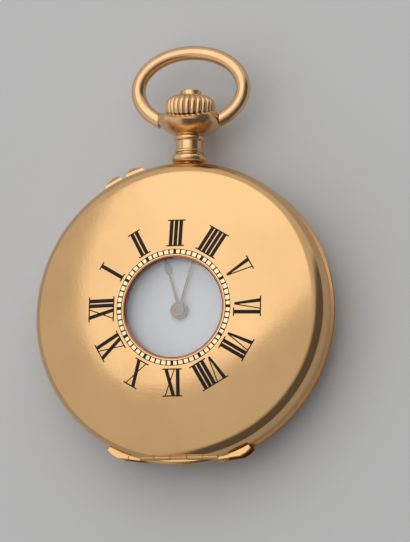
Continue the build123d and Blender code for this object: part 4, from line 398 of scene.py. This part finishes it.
# Bow: an oval wire with flat ends, and its two pivots
bow_low, bow_high = [Vector(v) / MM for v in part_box("bow")]
WIRE_R = (bow_high.z - bow_low.z) / 2
BOW_HALF_W, BOW_HALF_H, PIVOT_Y, BOW_END_X = bow_high.x - WIRE_R, 6.22, 32.5, 5.25
BOW_CENTRE_Y = bow_high.y - WIRE_R - BOW_HALF_H
BOW_OVER_DEG, BOW_STEPS, WIRE_SIDES = 9, 160, 44
PIVOT_R, PIVOT_IN, PIVOT_OUT = 0.75, 4.5, 5.6
end = math.degrees(math.acos(BOW_END_X / BOW_HALF_W)) + BOW_OVER_DEG
path = [(BOW_HALF_W * math.cos(a), BOW_CENTRE_Y + BOW_HALF_H * math.sin(a), MID_Z)
        for a in [math.radians(-end + (180 + 2 * end) * k / BOW_STEPS)
                  for k in range(BOW_STEPS + 1)]]


def cut_wire(mesh):
    """The wire's two feet end flat against the bowl's flanks."""
    data = bpy.data.meshes.new("wire")
    data.from_pydata([Vector(v) for v in mesh[0]], [], mesh[1])
    bm = bmesh.new()
    bm.from_mesh(data)
    for side in (-1, 1):
        low = [f for f in bm.faces if f.calc_center_median().y < BOW_CENTRE_Y
               and f.calc_center_median().x * side > 0]
        edges, verts = {e for f in low for e in f.edges}, {v for f in low for v in f.verts}
        cut = bmesh.ops.bisect_plane(bm, geom=low + list(edges) + list(verts), dist=1e-6,
                                     plane_co=(side * BOW_END_X, 0, 0), plane_no=(-side, 0, 0),
                                     clear_outer=True)
        ends = [e for e in cut["geom_cut"] if isinstance(e, bmesh.types.BMEdge)]
        bmesh.ops.holes_fill(bm, edges=ends, sides=0)
    bm.to_mesh(data)
    bm.free()
    return [tuple(v.co) for v in data.vertices], [tuple(p.vertices) for p in data.polygons]


pivots = [rod_x(PIVOT_R, *sorted((s * PIVOT_IN, s * PIVOT_OUT)), PIVOT_Y, MID_Z) for s in (-1, 1)]
piece("bow_ring", joined(cut_wire(tube(path, WIRE_R, WIRE_SIDES)), *pivots), ROSE, "bow",
      ("bow",))

# Crown: rounded ribs that follow its rolled flank, under a turned cap
crown_low, crown_high = [Vector(v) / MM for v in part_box("crown")]
RIBS, RIB_STEPS, RIB_DEPTH, RIB_POWER = 24, 16, 0.34, 0.55
RIB_FROM, RIB_TO, RIB_IN_R, RIB_RISE, RIB_FADE = 0.05, 4.24, 2.1, 0.3, 0.5
CAP_R, CAP_H, CAP_EDGE, KNOB_H = 1.75, 0.9, 0.2, 4.25
PIPE_IN_R, PIPE_OUT_R, PIPE_OVER = 0.64, 0.85, 0.05
CROWN_FOOT = crown_high.y - CAP_H - KNOB_H
FLANK = [(3.3, 0.0), (3.62, 0.25), (3.85, 0.7), (4.02, 1.3), (4.13, 1.95), (4.15, 2.5), (4.08, 3.0),
         (3.86, 3.45), (3.5, 3.82), (3.05, 4.07), (2.55, 4.2), (2.15, 4.24)]
CAP_FOOT = [(1.95, 4.2), (1.77, 4.22), (CAP_R, 4.3)]


def smooth_line(points, rounds=2):
    """Corner cutting that keeps both ends."""
    for _ in range(rounds):
        cut = [points[0]]
        for (a, b), (c, d) in zip(points, points[1:]):
            cut += [(a * 0.75 + c * 0.25, b * 0.75 + d * 0.25),
                    (a * 0.25 + c * 0.75, b * 0.25 + d * 0.75)]
        points = cut + [points[-1]]
    return points


line = [(0, 0.0)] + smooth_line(FLANK) + CAP_FOOT
line += arc(CAP_R - CAP_EDGE, KNOB_H + CAP_H - CAP_EDGE, CAP_EDGE, 0, 90, 6)
line += [(CAP_R * 0.5, KNOB_H + CAP_H), (0, KNOB_H + CAP_H)]
around = RIBS * RIB_STEPS
verts, faces = [], []
for i in range(around):
    a = 2 * math.pi * i / around
    ridge = abs(math.sin(a * RIBS / 2)) ** RIB_POWER
    for r, h in line:
        grip = 0.0
        if RIB_FROM < h < RIB_TO and r > RIB_IN_R:
            rise, fade = (h - RIB_FROM) / RIB_RISE, (r - RIB_IN_R) / RIB_FADE
            grip = RIB_DEPTH * min(1.0, rise) * min(1.0, fade)
        rr = r - grip * (1 - ridge)
        verts.append((rr * math.cos(a), rr * math.sin(a), CROWN_FOOT + h))
    j = (i + 1) % around
    for k in range(len(line) - 1):
        faces.append((i * len(line) + k, j * len(line) + k, j * len(line) + k + 1,
                      i * len(line) + k + 1))
pipe_top = CROWN_FOOT + PIPE_OVER
pipe = lathe([(PIPE_IN_R, crown_low.y), (PIPE_OUT_R, crown_low.y), (PIPE_OUT_R, pipe_top),
              (PIPE_IN_R, pipe_top)], segments=48)
piece("crown_knob", along_y(joined((verts, faces), pipe), MID_Z), ROSE, "crown", ("crown",),
      sharp_deg=50)

# Boss of the hands: a turned cap over the cannon pinion, with a ring and a dot cut into it
BOSS_R, BOSS_DROP, BOSS_EDGE, BOSS_OVER = 1.43, 0.24, 0.08, 0.09
CAP_SIDE, CAP_ROUND = (1.08, -0.12), 0.1
BOSS_STEP = [(1.16, -0.02), (1.1, 0.04)]
BOSS_FACE = [(0.78, 0.0), (0.74, -0.06), (0.66, -0.06), (0.62, -0.01), (0.36, -0.01),
             (0.32, -0.06), (0.24, -0.06), (0.18, 0.0), (0, 0.01)]
hand_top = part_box("minute_hand")[1][2] / MM
cap_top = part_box("cannon_pinion")[1][2] / MM + BOSS_OVER
cap = [(BOSS_R, hand_top - BOSS_DROP)]
cap += arc(BOSS_R - BOSS_EDGE, hand_top - BOSS_EDGE, BOSS_EDGE, 0, 90, 5)
cap += [(r, hand_top + h) for r, h in BOSS_STEP] + [(CAP_SIDE[0], cap_top + CAP_SIDE[1])]
cap += arc(CAP_SIDE[0] - CAP_ROUND, cap_top - CAP_ROUND, CAP_ROUND, 0, 90, 5)
cap += [(r, cap_top + h) for r, h in BOSS_FACE]
piece("hand_boss", lathe(cap, closed=False, segments=120), HAND, "minute_hand",
      sharp_deg=60)

# Printed hours and minutes of the dial, seen once the lid is up
HOURS = ("XII", "I", "II", "III", "IIII", "V", "VI", "VII", "VIII", "IX", "X", "XI")
PENDANT_HOUR = HOURS.index("III")
DIGIT_IN, DIGIT_OUT, BAR, GAP, THIN, LETTER_W, SERIF_OVER = 13.4, 17.3, 0.55, 0.22, 0.14, 1.7, 0.5
TICK_IN, TICK_OUT, HOUR_TICK, MINUTE_TICK, RING_HALF, INK = 18.3, 18.95, 0.34, 0.12, 0.04, 0.015
dial_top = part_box("dial")[1][2] / MM


def bar_quad(x_in, x_out, width, r_in=DIGIT_IN, r_out=DIGIT_OUT):
    return [(x_in - width / 2, r_in), (x_in + width / 2, r_in), (x_out + width / 2, r_out),
            (x_out - width / 2, r_out)]


def numeral(text):
    """Quads of an hour drawn upright over the centre, its top outward."""
    widths = [BAR if kind == "I" else LETTER_W for kind in text]
    total = sum(widths) + GAP * (len(text) - 1)
    lean, thin_lean = LETTER_W / 2 - BAR / 2, LETTER_W / 2 - THIN / 2
    x, quads = -total / 2, []
    for kind, width in zip(text, widths):
        x += width / 2
        if kind == "I":
            quads.append(bar_quad(x, x, BAR))
        elif kind == "V":
            quads += [bar_quad(x, x - lean, BAR), bar_quad(x + BAR / 4, x + thin_lean, THIN)]
        else:
            quads += [bar_quad(x + lean, x - lean, BAR),
                      bar_quad(x - thin_lean, x + thin_lean, THIN)]
        x += width / 2 + GAP
    for r in (DIGIT_IN, DIGIT_OUT):
        quads.append(bar_quad(0, 0, total + SERIF_OVER, r - THIN / 2, r + THIN / 2))
    return quads


def inked(quads, angle):
    """Thin printed shapes on the dial, turned to their place."""
    c, s = math.cos(math.radians(angle)), math.sin(math.radians(angle))
    shapes = []
    for quad in quads:
        flat = [(x * c - y * s, x * s + y * c) for x, y in quad]
        verts = [(x, y, dial_top + z) for z in (-INK, INK) for x, y in flat]
        sides = [(k, (k + 1) % 4, (k + 1) % 4 + 4, k + 4) for k in range(4)]
        shapes.append((verts, [(3, 2, 1, 0), (4, 5, 6, 7)] + sides))
    return joined(*shapes)


print_work = [inked(numeral(text), (PENDANT_HOUR - hour) * 30) for hour, text in enumerate(HOURS)]
for minute in range(60):
    width = MINUTE_TICK if minute % 5 else HOUR_TICK
    print_work.append(inked([bar_quad(0, 0, width, TICK_IN, TICK_OUT)], minute * 6))
for r in (TICK_IN, TICK_OUT):
    print_work.append(lathe([(r - RING_HALF, dial_top - INK), (r + RING_HALF, dial_top - INK),
                             (r + RING_HALF, dial_top + INK), (r - RING_HALF, dial_top + INK)]))
piece("dial_print", joined(*print_work), BLACK, "case")

# Floor
FLOOR_HALF, FLOOR_GREY = 3, 0.62
floor_mesh = bpy.data.meshes.new("floor")
floor_mesh.from_pydata([(-FLOOR_HALF, -FLOOR_HALF, 0), (FLOOR_HALF, -FLOOR_HALF, 0),
                        (FLOOR_HALF, FLOOR_HALF, 0), (-FLOOR_HALF, FLOOR_HALF, 0)], [],
                       [(0, 1, 2, 3)])
floor = bpy.data.objects.new("floor", floor_mesh)
bpy.context.collection.objects.link(floor)
paper = Nodes("floor")
paper.set(Base_Color=(FLOOR_GREY, FLOOR_GREY, FLOOR_GREY, 1), Roughness=0.8)
floor_mesh.materials.append(paper.mat)

# A studio wall darker low down towards the lower right, as the polished rim shows it
WALL_LIGHT, WALL_DARK = 0.72, 0.12
DARK_SIDE, DARK_FROM, DARK_TO = (0.8, -0.6, 0.0), 0.24, 0.4
DARK_HIGH, DARK_LOW = 0.92, 0.74
world = bpy.data.worlds.new("studio")
bpy.context.scene.world = world
world.use_nodes = True
sky = world.node_tree


def sky_node(kind, **inputs):
    node = sky.nodes.new(kind)
    for key, value in inputs.items():
        node.inputs[key.replace("_", " ")].default_value = value
    return node


way = sky_node("ShaderNodeTexCoord")
aside = sky_node("ShaderNodeVectorMath")
aside.operation = "DOT_PRODUCT"
aside.inputs[1].default_value = DARK_SIDE
height = sky_node("ShaderNodeSeparateXYZ")
sky.links.new(way.outputs["Generated"], aside.inputs[0])
sky.links.new(way.outputs["Generated"], height.inputs[0])
facing = sky_node("ShaderNodeMapRange", From_Min=DARK_FROM, From_Max=DARK_TO)
low = sky_node("ShaderNodeMapRange", From_Min=DARK_HIGH, From_Max=DARK_LOW)
both = sky_node("ShaderNodeMath")
both.operation = "MULTIPLY"
wall = sky_node("ShaderNodeMix")
wall.data_type = "RGBA"
wall.inputs[6].default_value = (WALL_LIGHT, WALL_LIGHT, WALL_LIGHT, 1)
wall.inputs[7].default_value = (WALL_DARK, WALL_DARK, WALL_DARK, 1)
sky.links.new(aside.outputs["Value"], facing.inputs["Value"])
sky.links.new(height.outputs["Z"], low.inputs["Value"])
sky.links.new(facing.outputs[0], both.inputs[0])
sky.links.new(low.outputs[0], both.inputs[1])
sky.links.new(both.outputs[0], wall.inputs[0])
sky.links.new(wall.outputs[2], sky.nodes["Background"].inputs["Color"])
sky.nodes["Background"].inputs["Strength"].default_value = 1.0

# An oval softbox hangs level over the watch; its near edge shows in the lid
BOX_SIZE, BOX_PLACE, BOX_TURN, BOX_LIGHT = (1.2, 0.766), (-0.075, 0.467, 0.61), 63.3, 0.70
lamp = bpy.data.lights.new("softbox", "AREA")
lamp.shape = "ELLIPSE"
lamp.size, lamp.size_y = BOX_SIZE
lamp.energy = BOX_LIGHT * math.pi * BOX_SIZE[0] * BOX_SIZE[1] * math.pi / 4
softbox = bpy.data.objects.new("softbox", lamp)
softbox.location = BOX_PLACE
softbox.rotation_euler = (0, 0, math.radians(BOX_TURN))
softbox.visible_camera = False
bpy.context.collection.objects.link(softbox)

# Camera: seen from this tilt and side, the anchor point falls on this pixel of the frame
TILT, AZIMUTH, DISTANCE = math.radians(19.1), math.radians(122.0), 1.2
PX_PER_MM, IMAGE_W, IMAGE_H = 6.10, 410, 542
ANCHOR, ANCHOR_PX = Vector((0, 0, 8)) * MM, (182.6, 312.7)
SENSOR, CLIP = 36, (0.01, 20)
toward = Vector((math.sin(TILT) * math.sin(AZIMUTH), math.sin(TILT) * math.cos(AZIMUTH),
                 math.cos(TILT)))
turn = Vector((0, 0, 1)).rotation_difference(toward).to_matrix()
right, up = turn @ Vector((1, 0, 0)), turn @ Vector((0, 1, 0))
step = MM / PX_PER_MM
centre = (ANCHOR + right * (IMAGE_W / 2 - ANCHOR_PX[0]) * step
          + up * (ANCHOR_PX[1] - IMAGE_H / 2) * step)
cam = bpy.data.cameras.new("camera")
cam.sensor_fit = "VERTICAL"
cam.sensor_height = SENSOR
cam.lens = SENSOR * DISTANCE / (IMAGE_H * step)
cam.clip_start, cam.clip_end = CLIP
camera = bpy.data.objects.new("camera", cam)
camera.location = centre + toward * DISTANCE
camera.rotation_euler = turn.to_euler()
bpy.context.collection.objects.link(camera)
bpy.context.scene.camera = camera

bpy.context.scene.view_settings.view_transform = "Standard"
